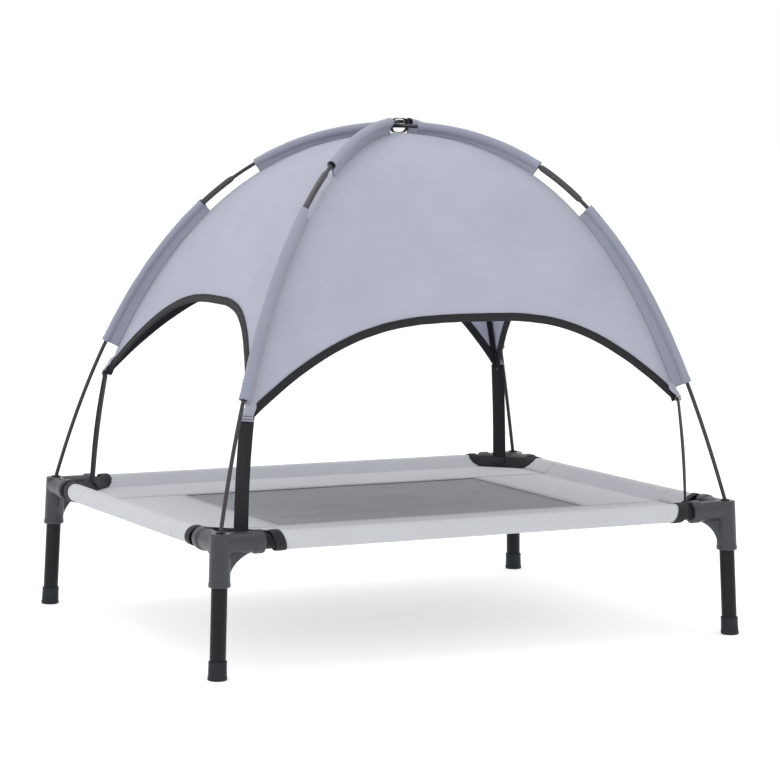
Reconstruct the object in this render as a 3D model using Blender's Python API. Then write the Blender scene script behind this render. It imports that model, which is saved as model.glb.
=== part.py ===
"""A raised dog bed on four legs with a lift-off sun canopy.

Metres, +Z up. The origin is on the floor under the middle of the bed, X runs along the
long side and Y along the short side, with the front at -Y.
"""

import math

import bmesh
import bpy
from mathutils import Matrix, Vector

# Bed frame: the leg axes' spacing at rail height, and how far they splay towards the floor.
LEG_SPACING_X = 0.730
LEG_SPACING_Y = 0.580
LEG_SPLAY = math.tan(math.radians(2.23))
RAIL_HEIGHT = 0.1665
HALF_X = LEG_SPACING_X / 2
HALF_Y = LEG_SPACING_Y / 2
CORNERS = {
    "front_left": (-1, -1),
    "front_right": (1, -1),
    "back_left": (-1, 1),
    "back_right": (1, 1),
}

# Steel tubes, and the gap that touching pieces keep.
TUBE_RADIUS = 0.010
TUBE_INNER_RADIUS = 0.0088
GAP = 0.0003
SEAT_RADIUS = TUBE_RADIUS + GAP

# Foot caps.
FOOT_HEIGHT = 0.0235
FOOT_FLOOR = 0.0027
FOOT_TOP_RADIUS = 0.0111
FOOT_BOTTOM_RADIUS = 0.01225
FOOT_EDGE = 0.0012

# Corner connectors: a splayed post and two level sockets, braced by thin webs.
POST_RADIUS = 0.01325
POST_BOTTOM = 0.1134
POST_TOP = 0.1793
LEG_SEAT_TOP = 0.150
SOCKET_RADIUS = 0.013
SOCKET_REACH = 0.056
COLLAR_RADIUS = 0.015
COLLAR_LENGTH = 0.013
SOCKET_FLOOR = 0.014
WEB_THICKNESS = 0.004
WEB_ROOT = 0.004
WEB_REACH = 0.042
WEB_TIP_DROP = 0.006
WEB_BOTTOM = 0.127
COLLAR_LAP = 0.001
CUT_OVERRUN = 0.010

# Pole caps, pressed into the tops of the posts.
CAP_RADIUS = 0.0050
CAP_FLANGE_RADIUS = 0.0062
CAP_BOTTOM = 0.1590
CAP_TOP = 0.1808
CAP_FLOOR = 0.1650
CAP_HOLE_RADIUS = 0.0033
CAP_PLACE = LEG_SPLAY * (POST_TOP - RAIL_HEIGHT)

# Bed cover: a mesh window between two side panels and two end strips, with rail sleeves.
WINDOW_HALF_X = 0.230
WINDOW_HALF_Y = 0.160
COVER_BOTTOM = 0.1600
COVER_THICKNESS = 0.0024
RAIL_SLEEVE_RADIUS = 0.0115
SLEEVE_END = 0.076
CORNER_STEP = 0.0124
TRIM_INNER_STEP = 0.0085
TRIM_WIDTH = 0.012
TRIM_RADIUS = 0.0120

# Canopy poles: a straight tip, then a bow that runs from the post to the crown.
POLE_RADIUS = 0.0026
POLE_INNER_RADIUS = 0.0016
CORD_RADIUS = 0.0010
BOW_FOOT_HEIGHT = 0.1793
BOW_FOOT_LEAN = math.radians(16.7)
BOW_FOOT_PULL = 0.285
BOW_CROWN_PULL = 0.2586
CROWN_HEIGHT = 0.6736
CROWN_SHIFT = 0.0215
SHIFT_POWER = 2.17
POLE_CROSSING = 2 * POLE_RADIUS + GAP
BOW_STEPS = 18
DIAGONAL = math.hypot(HALF_X, HALF_Y)
BOW_FOOT_REACH = math.hypot(HALF_X - CAP_PLACE, HALF_Y - CAP_PLACE)

# Places along a bow, measured from the pole's tip.
SLEEVE_FEET = {
    "front_left": 0.190,
    "front_right": 0.190,
    "back_left": 0.208,
    "back_right": 0.190,
}
WINDOW_START = 0.452
WINDOW_END = 0.541
SLEEVE_CROWN = 0.719
FERRULE_MIDDLES = {
    "front_left": 0.488,
    "front_right": 0.503,
    "back_left": 0.468,
    "back_right": 0.488,
}
FERRULE_LENGTH = 0.072
FERRULE_TAPER = 0.006
FERRULE_RADIUS = 0.0042
FERRULE_END_RADIUS = 0.0036

# Canopy fabric.
SLEEVE_RADIUS = 0.0060
SLEEVE_HOLE_RADIUS = 0.0052
SLEEVE_ANGLES = (50, 102, 154, 206, 258, 310)
SLEEVE_MOUTH_ANGLES = (7, 22)
FIN_HALF_THICKNESS = 0.0008
FIN_CLEARANCE = 0.0010
CROWN_DEPTH = 0.013
TIP_DEPTH = 0.022
TIP_HEIGHTS = {
    "front_left": 0.308,
    "front_right": 0.308,
    "back_left": 0.322,
    "back_right": 0.308,
}
ARCH_HEIGHTS = {"front": 0.423, "right": 0.441, "back": 0.455, "left": 0.441}
ARCH_POWERS = {"front": 3.2, "right": 3.1, "back": 4.0, "left": 3.1}
ARCH_PEAKS = {"front": 0.09, "right": 0.0, "back": 0.0, "left": 0.14}
PANEL_TURNS = {"front": 0, "right": 90, "back": 180, "left": -90}
PANEL_ENDS = {
    "front": ("front_left", "front_right"),
    "right": ("front_right", "back_right"),
    "back": ("back_right", "back_left"),
    "left": ("back_left", "front_left"),
}
PANEL_THICKNESS = 0.0014
PANEL_CLEARANCE = 0.003
PANEL_TOP_REACH = 0.008
PANEL_COLUMNS = 12
PANEL_ROWS = 8

# Corner straps and the tape that ties the crossed poles to the crown.
STRAP_WIDTH = 0.020
STRAP_THICKNESS = 0.0015
STRAP_BOTTOM_REACH = 0.4105
STRAP_BOTTOM = 0.1636
STRAP_DROP = 0.005
TIE_HALF_WIDTH = 0.0122
TIE_THICKNESS = 0.0010
TIE_HALF_LENGTH = 0.004
TIE_BOTTOM = 0.6615
TIE_TOP = 0.6813
TIE_CHAMFER = 0.004

# Smoothness of round pieces.
TUBE_SIDES = 20
BORE_SIDES = 20
POST_SIDES = 24
CAP_SIDES = 16
POLE_SIDES = 8
CORD_SIDES = 6
SHARP_ANGLE = math.radians(35)
SAME_POINT = 1e-6

# Rest of the pole path: the straight tip stands just clear of the cap's floor.
POLE_TIP_HEIGHT = CAP_FLOOR + GAP


def clear_scene():
    for old in list(bpy.data.objects):
        bpy.data.objects.remove(old, do_unlink=True)


def make_material(name, colour, roughness, metallic=0.0):
    material = bpy.data.materials.new(name)
    material.use_nodes = True
    shader = material.node_tree.nodes["Principled BSDF"]
    shader.inputs["Base Color"].default_value = (*colour, 1.0)
    shader.inputs["Roughness"].default_value = roughness
    shader.inputs["Metallic"].default_value = metallic
    return material


def make_empty(name, parent=None, location=(0, 0, 0), turn=0.0):
    empty = bpy.data.objects.new(name, None)
    empty.empty_display_size = 0.05
    empty.location = location
    empty.rotation_euler.z = turn
    empty.parent = parent
    bpy.context.scene.collection.objects.link(empty)
    return empty


def to_mesh(name, bm):
    mesh = bpy.data.meshes.new(name)
    bm.to_mesh(mesh)
    bm.free()
    return mesh


def place(name, mesh, material, parent, location=(0, 0, 0), rotation=(0, 0, 0)):
    mesh.shade_smooth()
    mesh.set_sharp_from_angle(angle=SHARP_ANGLE)
    mesh.materials.clear()
    mesh.materials.append(material)
    piece = bpy.data.objects.new(name, mesh)
    piece.location = location
    piece.rotation_euler = rotation
    piece.parent = parent
    bpy.context.scene.collection.objects.link(piece)
    return piece


def turned(profile, sides=TUBE_SIDES, closed=True):
    """Spin (radius, height) points round Z. A closed profile gives a ring or a tube."""
    bm = bmesh.new()
    points = [bm.verts.new((radius, 0, height)) for radius, height in profile]
    pairs = list(zip(points, points[1:]))
    if closed:
        pairs.append((points[-1], points[0]))
    edges = [bm.edges.new(pair) for pair in pairs]
    bmesh.ops.spin(
        bm, geom=points + edges, cent=(0, 0, 0), axis=(0, 0, 1), angle=2 * math.pi, steps=sides
    )
    bmesh.ops.remove_doubles(bm, verts=bm.verts, dist=SAME_POINT)
    bmesh.ops.recalc_face_normals(bm, faces=bm.faces)
    return bm


def splay(bm):
    """Lean a corner piece about rail height, so that its foot moves away from the bed."""
    for vert in bm.verts:
        shift = LEG_SPLAY * (vert.co.z - RAIL_HEIGHT)
        vert.co.x += shift
        vert.co.y += shift
    return bm


def rod(start, end, radius, sides=BORE_SIDES):
    """A solid round bar between two points."""
    start = Vector(start)
    run = Vector(end) - start
    turn = run.to_track_quat("Z", "Y").to_matrix().to_4x4()
    bm = bmesh.new()
    bmesh.ops.create_cone(
        bm,
        cap_ends=True,
        segments=sides,
        radius1=radius,
        radius2=radius,
        depth=run.length,
        matrix=Matrix.Translation(start + run / 2) @ turn,
    )
    return bm


def slab(outline, bottom, top):
    """A flat plate with a level outline of (x, y) points."""
    bm = bmesh.new()
    face = bm.faces.new([bm.verts.new((x, y, bottom)) for x, y in outline])
    raised = bmesh.ops.extrude_face_region(bm, geom=[face])
    verts = [item for item in raised["geom"] if isinstance(item, bmesh.types.BMVert)]
    bmesh.ops.translate(bm, verts=verts, vec=(0, 0, top - bottom))
    bmesh.ops.recalc_face_normals(bm, faces=bm.faces)
    return bm


def combine(name, base, joined=(), cut=()):
    """One mesh from a base solid, with others joined to it and then cut out of it."""
    def helper(bm):
        piece = bpy.data.objects.new(name, to_mesh(name, bm))
        bpy.context.scene.collection.objects.link(piece)
        return piece

    body = helper(base)
    helpers = [body]
    for operation, solids in (("UNION", joined), ("DIFFERENCE", cut)):
        for bm in solids:
            other = helper(bm)
            helpers.append(other)
            modifier = body.modifiers.new(operation, "BOOLEAN")
            modifier.operation = operation
            modifier.object = other
    bpy.context.view_layer.update()
    graph = bpy.context.evaluated_depsgraph_get()
    mesh = bpy.data.meshes.new_from_object(body.evaluated_get(graph), depsgraph=graph)
    for piece in helpers:
        used = piece.data
        bpy.data.objects.remove(piece, do_unlink=True)
        bpy.data.meshes.remove(used)
    return mesh


def lean_over(mesh, turn):
    """Move a canopy mesh sideways, more towards the crown, as the soft dome stands a little skew."""
    run = CROWN_HEIGHT - BOW_FOOT_HEIGHT
    for vert in mesh.vertices:
        rise = min(max((vert.co.z - BOW_FOOT_HEIGHT) / run, 0.0), 1.0)
        shift = CROWN_SHIFT * rise**SHIFT_POWER
        vert.co.x += shift * math.cos(turn)
        vert.co.y -= shift * math.sin(turn)


def at_corner(mesh, signs):
    """A copy of a front-left corner mesh, mirrored to face the bed from another corner."""
    copy = mesh.copy()
    copy.transform(Matrix.Diagonal((-signs[0], -signs[1], 1, 1)))
    if signs[0] * signs[1] < 0:
        copy.flip_normals()
    return copy


# Corner pieces: each mesh is made for the front-left corner, with the bed towards +X and +Y.


def foot_mesh():
    """A cup that the leg's end stands in, with a flat sole on the floor."""
    profile = [
        (0, 0),
        (FOOT_BOTTOM_RADIUS - FOOT_EDGE, 0),
        (FOOT_BOTTOM_RADIUS, FOOT_EDGE),
        (FOOT_TOP_RADIUS, FOOT_HEIGHT),
        (SEAT_RADIUS, FOOT_HEIGHT),
        (SEAT_RADIUS, FOOT_FLOOR),
        (0, FOOT_FLOOR),
    ]
    return to_mesh("foot_cap", splay(turned(profile, closed=False)))


def leg_mesh():
    bottom = FOOT_FLOOR + GAP
    top = LEG_SEAT_TOP - GAP
    profile = [
        (TUBE_INNER_RADIUS, bottom),
        (TUBE_RADIUS, bottom),
        (TUBE_RADIUS, top),
        (TUBE_INNER_RADIUS, top),
    ]
    return to_mesh("leg_tube", splay(turned(profile)))


def web(direction):
    """The triangular brace under a socket, standing in the plane of the socket's axis."""
    low = RAIL_HEIGHT - SOCKET_RADIUS / 2
    outline = [
        (WEB_ROOT, WEB_BOTTOM),
        (POST_RADIUS, WEB_BOTTOM),
        (WEB_REACH, low - WEB_TIP_DROP),
        (WEB_ROOT, low),
    ]
    across = Vector((direction[1], direction[0], 0))
    bm = bmesh.new()
    corners = [
        Vector(direction) * reach + Vector((0, 0, height)) - across * WEB_THICKNESS / 2
        for reach, height in outline
    ]
    face = bm.faces.new([bm.verts.new(corner) for corner in corners])
    raised = bmesh.ops.extrude_face_region(bm, geom=[face])
    verts = [item for item in raised["geom"] if isinstance(item, bmesh.types.BMVert)]
    bmesh.ops.translate(bm, verts=verts, vec=across * WEB_THICKNESS)
    bmesh.ops.recalc_face_normals(bm, faces=bm.faces)
    return bm


def connector_mesh():
    post = splay(rod((0, 0, POST_BOTTOM), (0, 0, POST_TOP), POST_RADIUS, POST_SIDES))
    leg_seat = splay(rod((0, 0, POST_BOTTOM - CUT_OVERRUN), (0, 0, LEG_SEAT_TOP), SEAT_RADIUS))
    seat_bottom = Vector((CAP_PLACE, CAP_PLACE, CAP_BOTTOM - GAP))
    seat_mouth = Vector((CAP_PLACE, CAP_PLACE, POST_TOP + CUT_OVERRUN))
    cap_seat = rod(seat_bottom, seat_mouth, CAP_RADIUS + GAP, CAP_SIDES)
    joined = []
    cut = [leg_seat, cap_seat]
    for direction in ((1, 0, 0), (0, 1, 0)):
        axis = Vector(direction)
        level = Vector((0, 0, RAIL_HEIGHT))
        mouth = level + axis * SOCKET_REACH
        joined.append(rod(level + axis * COLLAR_LAP, mouth - axis * COLLAR_LAP, SOCKET_RADIUS))
        joined.append(rod(mouth - axis * COLLAR_LENGTH, mouth, COLLAR_RADIUS))
        joined.append(web(direction))
        cut.append(rod(level + axis * SOCKET_FLOOR, mouth + axis * CUT_OVERRUN, SEAT_RADIUS))
    return combine("corner_connector", post, joined, cut)


def cap_mesh():
    """A bushing with a flange on the post's top and a blind hole for the pole's tip."""
    profile = [
        (0, CAP_BOTTOM),
        (CAP_RADIUS, CAP_BOTTOM),
        (CAP_RADIUS, POST_TOP + GAP),
        (CAP_FLANGE_RADIUS, POST_TOP + GAP),
        (CAP_FLANGE_RADIUS, CAP_TOP),
        (CAP_HOLE_RADIUS, CAP_TOP),
        (CAP_HOLE_RADIUS, CAP_FLOOR),
        (0, CAP_FLOOR),
    ]
    bm = turned(profile, CAP_SIDES, closed=False)
    bmesh.ops.translate(bm, verts=bm.verts, vec=(CAP_PLACE, CAP_PLACE, 0))
    return to_mesh("pole_cap", bm)


def trim_mesh():
    """The black binding: a ring round each rail, joined across the corner by a flat band."""
    near = SLEEVE_END - TRIM_WIDTH
    far = SLEEVE_END - GAP
    level = Vector((0, 0, RAIL_HEIGHT))
    outer = [(far, 0), (far, CORNER_STEP), (CORNER_STEP, far), (0, far)]
    inner = [(0, near), (TRIM_INNER_STEP, near), (near, TRIM_INNER_STEP), (near, 0)]
    band = slab(outer + inner, COVER_BOTTOM, COVER_BOTTOM + COVER_THICKNESS)
    rings = []
    bores = []
    for axis in (Vector((1, 0, 0)), Vector((0, 1, 0))):
        rings.append(rod(level + axis * near, level + axis * far, TRIM_RADIUS))
        bores.append(rod(level, level + axis * (far + CUT_OVERRUN), SEAT_RADIUS))
    return combine("corner_trim", band, rings, bores)


def add_corners(frame, materials):
    meshes = {
        "foot_cap": (foot_mesh(), "foot"),
        "leg_tube": (leg_mesh(), "steel"),
        "corner_connector": (connector_mesh(), "connector"),
        "pole_cap": (cap_mesh(), "cap"),
        "corner_trim": (trim_mesh(), "webbing"),
    }
    for corner, signs in CORNERS.items():
        location = (signs[0] * HALF_X, signs[1] * HALF_Y, 0)
        empty = make_empty("corner_" + corner, frame, location)
        for kind, (mesh, finish) in meshes.items():
            place(f"{kind}_{corner}", at_corner(mesh, signs), materials[finish], empty)
    for mesh, _ in meshes.values():
        bpy.data.meshes.remove(mesh)


# Rails and the bed cover.


def add_rail(name, length, location, rotation, frame, materials):
    profile = [
        (TUBE_INNER_RADIUS, -length / 2),
        (TUBE_RADIUS, -length / 2),
        (TUBE_RADIUS, length / 2),
        (TUBE_INNER_RADIUS, length / 2),
    ]
    place(name, to_mesh(name, turned(profile)), materials["steel"], frame, location, rotation)


def add_rails(frame, materials):
    trimmed = 2 * (SOCKET_FLOOR + GAP)
    quarter = math.pi / 2
    for side, sign in (("front", -1), ("back", 1)):
        place_at = (0, sign * HALF_Y, RAIL_HEIGHT)
        add_rail("rail_" + side, LEG_SPACING_X - trimmed, place_at, (0, quarter, 0), frame, materials)
    for side, sign in (("left", -1), ("right", 1)):
        place_at = (sign * HALF_X, 0, RAIL_HEIGHT)
        add_rail("rail_" + side, LEG_SPACING_Y - trimmed, place_at, (quarter, 0, 0), frame, materials)


def add_mesh_window(frame, materials):
    x = WINDOW_HALF_X
    y = WINDOW_HALF_Y
    bm = slab([(-x, -y), (x, -y), (x, y), (-x, y)], COVER_BOTTOM, COVER_BOTTOM + COVER_THICKNESS)
    place("cover_mesh_window", to_mesh("cover_mesh_window", bm), materials["mesh"], frame)


def side_panel_mesh():
    """The panel at -X: a flat piece beside the window, ending in the rail's sleeve."""
    y = WINDOW_HALF_Y
    outer = -HALF_X
    inner = -WINDOW_HALF_X - GAP
    plate = slab(
        [(outer, -y), (inner, -y), (inner, y), (outer, y)], COVER_BOTTOM, COVER_BOTTOM + COVER_THICKNESS
    )
    sleeve = rod((outer, -y, RAIL_HEIGHT), (outer, y, RAIL_HEIGHT), RAIL_SLEEVE_RADIUS)
    bore = rod((outer, -2 * y, RAIL_HEIGHT), (outer, 2 * y, RAIL_HEIGHT), SEAT_RADIUS)
    return combine("cover_side_panel", plate, [sleeve], [bore])


def end_strip_mesh():
    """The strip at -Y: it holds the long rail, and the ends of both short rails."""
    x = HALF_X
    y = HALF_Y
    inner = -WINDOW_HALF_Y - GAP
    step = CORNER_STEP + 2 * GAP
    left = [(-x, inner), (-x, -y + SLEEVE_END), (-x + step, -y + SLEEVE_END)]
    left += [(-x + SLEEVE_END, -y + step), (-x + SLEEVE_END, -y)]
    right = [(-reach, place) for reach, place in reversed(left)]
    plate = slab(left + right, COVER_BOTTOM, COVER_BOTTOM + COVER_THICKNESS)
    level = RAIL_HEIGHT
    sleeves = [rod((-x + SLEEVE_END, -y, level), (x - SLEEVE_END, -y, level), RAIL_SLEEVE_RADIUS)]
    bores = [rod((-x, -y, level), (x, -y, level), SEAT_RADIUS)]
    for side in (-x, x):
        sleeves.append(rod((side, inner, level), (side, -y + SLEEVE_END, level), RAIL_SLEEVE_RADIUS))
        bores.append(rod((side, 0, level), (side, -y, level), SEAT_RADIUS))
    return combine("cover_end_strip", plate, sleeves, bores)


def add_cover(frame, materials):
    add_mesh_window(frame, materials)
    panel = side_panel_mesh()
    strip = end_strip_mesh()
    for side, turn in (("left", 0), ("right", math.pi)):
        place("cover_side_panel_" + side, panel.copy(), materials["canvas"], frame, rotation=(0, 0, turn))
    for side, turn in (("front", 0), ("back", math.pi)):
        place("cover_end_strip_" + side, strip.copy(), materials["canvas"], frame, rotation=(0, 0, turn))
    bpy.data.meshes.remove(panel)
    bpy.data.meshes.remove(strip)


# Canopy: bows are drawn in an upright plane, as (reach from the middle, height) pairs.


def bow_path(crown_height):
    """The pole's centre line from its tip to the crown: a straight tip, then one bow."""
    foot = Vector((BOW_FOOT_REACH, BOW_FOOT_HEIGHT))
    lean = Vector((-math.sin(BOW_FOOT_LEAN), math.cos(BOW_FOOT_LEAN)))
    crown = Vector((0, crown_height))
    handles = [foot, foot + lean * BOW_FOOT_PULL, crown + Vector((BOW_CROWN_PULL, 0)), crown]
    path = [Vector((BOW_FOOT_REACH, POLE_TIP_HEIGHT))]
    for step in range(BOW_STEPS + 1):
        t = step / BOW_STEPS
        weights = ((1 - t) ** 3, 3 * (1 - t) ** 2 * t, 3 * (1 - t) * t**2, t**3)
        path.append(sum((w * h for w, h in zip(weights, handles)), Vector((0, 0))))
    return path


def along(path, distance):
    """The point at a distance along a chain of straight pieces."""
    for first, second in zip(path, path[1:]):
        length = (second - first).length
        if distance <= length:
            return first.lerp(second, distance / length)
        distance -= length
    return path[-1].copy()


def path_length(path):
    return sum((second - first).length for first, second in zip(path, path[1:]))


def stretch(path, start, end):
    """The part of a path between two distances, with the path's own corners in between."""
    corners = []
    travelled = 0.0
    for first, second in zip(path, path[1:]):
        if start + POLE_RADIUS < travelled < end - POLE_RADIUS:
            corners.append(first)
        travelled += (second - first).length
    return [along(path, start), *corners, along(path, end)]


def inward_normals(path):
    """At each point, the unit direction across the path on its inner, canopy side."""
    normals = []
    for index in range(len(path)):
        before = path[max(index - 1, 0)]
        after = path[min(index + 1, len(path) - 1)]
        run = (after - before).normalized()
        normals.append(Vector((-run.y, run.x)))
    return normals


def skin(bm, rings):
    rows = [[bm.verts.new(point) for point in ring] for ring in rings]
    for low, high in zip(rows, rows[1:]):
        for index in range(len(low)):
            following = (index + 1) % len(low)
            bm.faces.new((low[index], low[following], high[following], high[index]))
    return rows


def loft(outlines, holes=None):
    """A closed solid through a row of outlines, with an open hole along it where given."""
    bm = bmesh.new()
    outer = skin(bm, outlines)
    if holes is None:
        bm.faces.new(outer[0])
        bm.faces.new(outer[-1])
    else:
        inner = skin(bm, holes)
        for rim, edge in ((outer[0], inner[0]), (outer[-1], inner[-1])):
            for index in range(len(rim)):
                following = (index + 1) % len(rim)
                bm.faces.new((rim[index], rim[following], edge[following], edge[index]))
    bmesh.ops.recalc_face_normals(bm, faces=bm.faces)
    return bm


def ring_at(point, normal, shape):
    """A ring in the plane across a bow, from (inward, sideways) pairs."""
    return [
        Vector((point.x + normal.x * inward, sideways, point.y + normal.y * inward))
        for inward, sideways in shape
    ]


def circle(radius, sides):
    angles = [2 * math.pi * index / sides for index in range(sides)]
    return [(radius * math.cos(angle), radius * math.sin(angle)) for angle in angles]


def tube_along(path, outer_radius, inner_radius, sides=POLE_SIDES):
    normals = inward_normals(path)
    outlines = [ring_at(p, n, circle(outer_radius, sides)) for p, n in zip(path, normals)]
    if inner_radius is None:
        return loft(outlines)
    holes = [ring_at(p, n, circle(inner_radius, sides)) for p, n in zip(path, normals)]
    return loft(outlines, holes)


def whole_pole(path):
    """From one tip over the crown to the other tip."""
    far_side = [Vector((-point.x, point.y)) for point in reversed(path[:-1])]
    return path + far_side


def seam_path():
    """The line where two canopy panels meet, inside the bow and nearer to it at the crown."""
    path = bow_path(CROWN_HEIGHT)[1:]
    seam = []
    for index, (point, normal) in enumerate(zip(path, inward_normals(path))):
        share = index / BOW_STEPS
        seam.append(point + normal * (TIP_DEPTH + (CROWN_DEPTH - TIP_DEPTH) * share))
    return seam


def seam_at_height(seam, height):
    """The seam's reach from the middle at a height."""
    for first, second in zip(seam, seam[1:]):
        if first.y <= height <= second.y:
            return first.lerp(second, (height - first.y) / (second.y - first.y)).x
    return seam[-1].x


def depth_to_seam(point, normal, seam):
    """How far the seam lies from a point of the bow, along the bow's inward normal."""
    for first, second in zip(seam, seam[1:]):
        run = second - first
        offset = first - point
        cross = normal.x * run.y - normal.y * run.x
        share = (normal.y * offset.x - normal.x * offset.y) / cross
        if 0 <= share <= 1:
            return (offset.x * run.y - offset.y * run.x) / cross
    return CROWN_DEPTH


def sleeve_shapes(depth):
    """The outline and the hole of a pole sleeve: a round hem on a flat fin of fabric."""
    turns = [math.radians(angle) for angle in SLEEVE_ANGLES]
    mouth = [math.radians(angle) for angle in SLEEVE_MOUTH_ANGLES]
    root = math.sqrt(SLEEVE_RADIUS**2 - FIN_HALF_THICKNESS**2)
    outline = [(depth, FIN_HALF_THICKNESS), (root, FIN_HALF_THICKNESS)]
    outline += [(SLEEVE_RADIUS * math.cos(turn), SLEEVE_RADIUS * math.sin(turn)) for turn in turns]
    outline += [(root, -FIN_HALF_THICKNESS), (depth, -FIN_HALF_THICKNESS)]
    hole_turns = [*mouth, *turns, *[-turn for turn in reversed(mouth)]]
    hole = [(SLEEVE_HOLE_RADIUS * math.cos(turn), SLEEVE_HOLE_RADIUS * math.sin(turn)) for turn in hole_turns]
    return outline, hole


def sleeve_mesh(name, path, start, end, seam):
    piece = stretch(path, start, end)
    outlines = []
    holes = []
    for point, normal in zip(piece, inward_normals(piece)):
        depth = depth_to_seam(point, normal, seam) - FIN_CLEARANCE
        outline, hole = sleeve_shapes(depth)
        outlines.append(ring_at(point, normal, outline))
        holes.append(ring_at(point, normal, hole))
    return to_mesh(name, loft(outlines, holes))


def ferrule_mesh(name, path, middle):
    """A metal tube over the joint between two pole sections, narrowed at both ends."""
    start = middle - FERRULE_LENGTH / 2
    end = middle + FERRULE_LENGTH / 2
    taper_ends = [along(path, start + FERRULE_TAPER), along(path, end - FERRULE_TAPER)]
    inner = stretch(path, start + 2 * FERRULE_TAPER, end - 2 * FERRULE_TAPER)
    points = [along(path, start), taper_ends[0], *inner, taper_ends[1], along(path, end)]
    radii = [FERRULE_END_RADIUS, *[FERRULE_RADIUS] * (len(points) - 2), FERRULE_END_RADIUS]
    outlines = []
    holes = []
    for point, normal, radius in zip(points, inward_normals(points), radii):
        outlines.append(ring_at(point, normal, circle(radius, POLE_SIDES)))
        holes.append(ring_at(point, normal, circle(POLE_RADIUS + GAP, POLE_SIDES)))
    return to_mesh(name, loft(outlines, holes))


def strap_mesh(name, tip_height):
    """Flat webbing from the bed's corner up to the canopy's corner."""
    top_reach = seam_at_height(seam_path(), tip_height)
    low = Vector((STRAP_BOTTOM_REACH, STRAP_BOTTOM))
    high = Vector((top_reach, tip_height - STRAP_DROP))
    shape = [
        (half * STRAP_THICKNESS / 2, side * STRAP_WIDTH / 2)
        for half, side in ((-1, -1), (1, -1), (1, 1), (-1, 1))
    ]
    level = Vector((1, 0))
    return to_mesh(name, loft([ring_at(low, level, shape), ring_at(high, level, shape)]))


def panel_mesh(name, side, seam):
    """A canopy panel facing -Y: level lines between two seams, over an arched lower edge."""
    along_long_side = side in ("front", "back")
    across = (HALF_X if along_long_side else HALF_Y) / DIAGONAL
    outward = (HALF_Y if along_long_side else HALF_X) / DIAGONAL
    bm = bmesh.new()
    grid = []
    for column in range(PANEL_COLUMNS + 1):
        share = 2 * column / PANEL_COLUMNS - 1
        points = panel_column(seam, arch_height(side, share))
        grid.append([bm.verts.new(panel_point(point, share, across, outward)) for point in points])
    for left, right in zip(grid, grid[1:]):
        for row in range(PANEL_ROWS):
            bm.faces.new((left[row], right[row], right[row + 1], left[row + 1]))
    return to_mesh(name, bm)


def arch_height(side, share):
    """The height of a panel's lower edge, between its two corners and its peak."""
    peak = ARCH_PEAKS[side]
    first, last = PANEL_ENDS[side]
    tip = TIP_HEIGHTS[first if share < peak else last]
    span = 1 + peak if share < peak else 1 - peak
    fall = (abs(share - peak) / span) ** ARCH_POWERS[side]
    return tip + (ARCH_HEIGHTS[side] - tip) * (1 - fall)


def panel_column(seam, low):
    """Evenly spaced places on the seam line between a low height and the panel's top."""
    start = distance_at_height(seam, low)
    end = path_length(seam) - PANEL_TOP_REACH
    return [along(seam, start + (end - start) * row / PANEL_ROWS) for row in range(PANEL_ROWS + 1)]


def distance_at_height(seam, height):
    travelled = 0.0
    for first, second in zip(seam, seam[1:]):
        if second.y >= height:
            share = (height - first.y) / (second.y - first.y)
            return travelled + (second - first).length * share
        travelled += (second - first).length
    return travelled


def panel_point(point, share, across, outward):
    half_width = point.x * across - PANEL_CLEARANCE
    return Vector((share * half_width, -point.x * outward, point.y))


def add_panels(canopy, materials, seam):
    for side, turn in PANEL_TURNS.items():
        mesh = panel_mesh("canopy_panel_" + side, side, seam)
        lean_over(mesh, math.radians(turn))
        panel = place(mesh.name, mesh, materials["canopy"], canopy, rotation=(0, 0, math.radians(turn)))
        shell = panel.modifiers.new("thickness", "SOLIDIFY")
        shell.thickness = PANEL_THICKNESS
        shell.offset = -1
        shell.use_even_offset = True


def add_arm(corner, signs, canopy, materials, seam):
    """The half of a pole over one corner, with its sleeves, ferrule and strap."""
    turn = math.atan2(signs[1] * HALF_Y, signs[0] * HALF_X)
    arm = make_empty("arm_" + corner, canopy, turn=turn)
    path = bow_path(pole_crown(signs))
    middle = FERRULE_MIDDLES[corner]
    pole = stretch(path, 0, middle - GAP / 2)
    pieces = {
        "pole_end_section": (to_mesh("pole", tube_along(pole, POLE_RADIUS, POLE_INNER_RADIUS)), "pole"),
        "pole_ferrule": (ferrule_mesh("ferrule", path, middle), "ferrule"),
        "lower_pole_sleeve": (sleeve_mesh("sleeve", path, SLEEVE_FEET[corner], WINDOW_START, seam), "canopy"),
        "upper_pole_sleeve": (sleeve_mesh("sleeve", path, WINDOW_END, SLEEVE_CROWN, seam), "canopy"),
        "corner_strap": (strap_mesh("strap", TIP_HEIGHTS[corner]), "webbing"),
    }
    for kind, (mesh, finish) in pieces.items():
        lean_over(mesh, turn)
        place(f"{kind}_{corner}", mesh, materials[finish], arm)


def pole_crown(signs):
    """The pole from front left to back right crosses over the other one."""
    over = 1 if signs[0] == signs[1] else -1
    return CROWN_HEIGHT + over * POLE_CROSSING / 2


def add_pole_middles(canopy, materials):
    """The section over the crown and the elastic cord that runs through all three sections."""
    for near, far in (("front_left", "back_right"), ("front_right", "back_left")):
        signs = CORNERS[near]
        turn = math.atan2(signs[1] * HALF_Y, signs[0] * HALF_X)
        pole = make_empty("pole_" + near, canopy, turn=turn)
        path = whole_pole(bow_path(pole_crown(signs)))
        length = path_length(path)
        middle = stretch(path, FERRULE_MIDDLES[near] + GAP / 2, length - FERRULE_MIDDLES[far] - GAP / 2)
        section = to_mesh("pole", tube_along(middle, POLE_RADIUS, POLE_INNER_RADIUS))
        cord = to_mesh("cord", tube_along(path, CORD_RADIUS, None, CORD_SIDES))
        for mesh in (section, cord):
            lean_over(mesh, turn)
        place("pole_crown_section_" + near, section, materials["pole"], pole)
        place("pole_shock_cord_" + near, cord, materials["cord"], pole)


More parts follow.
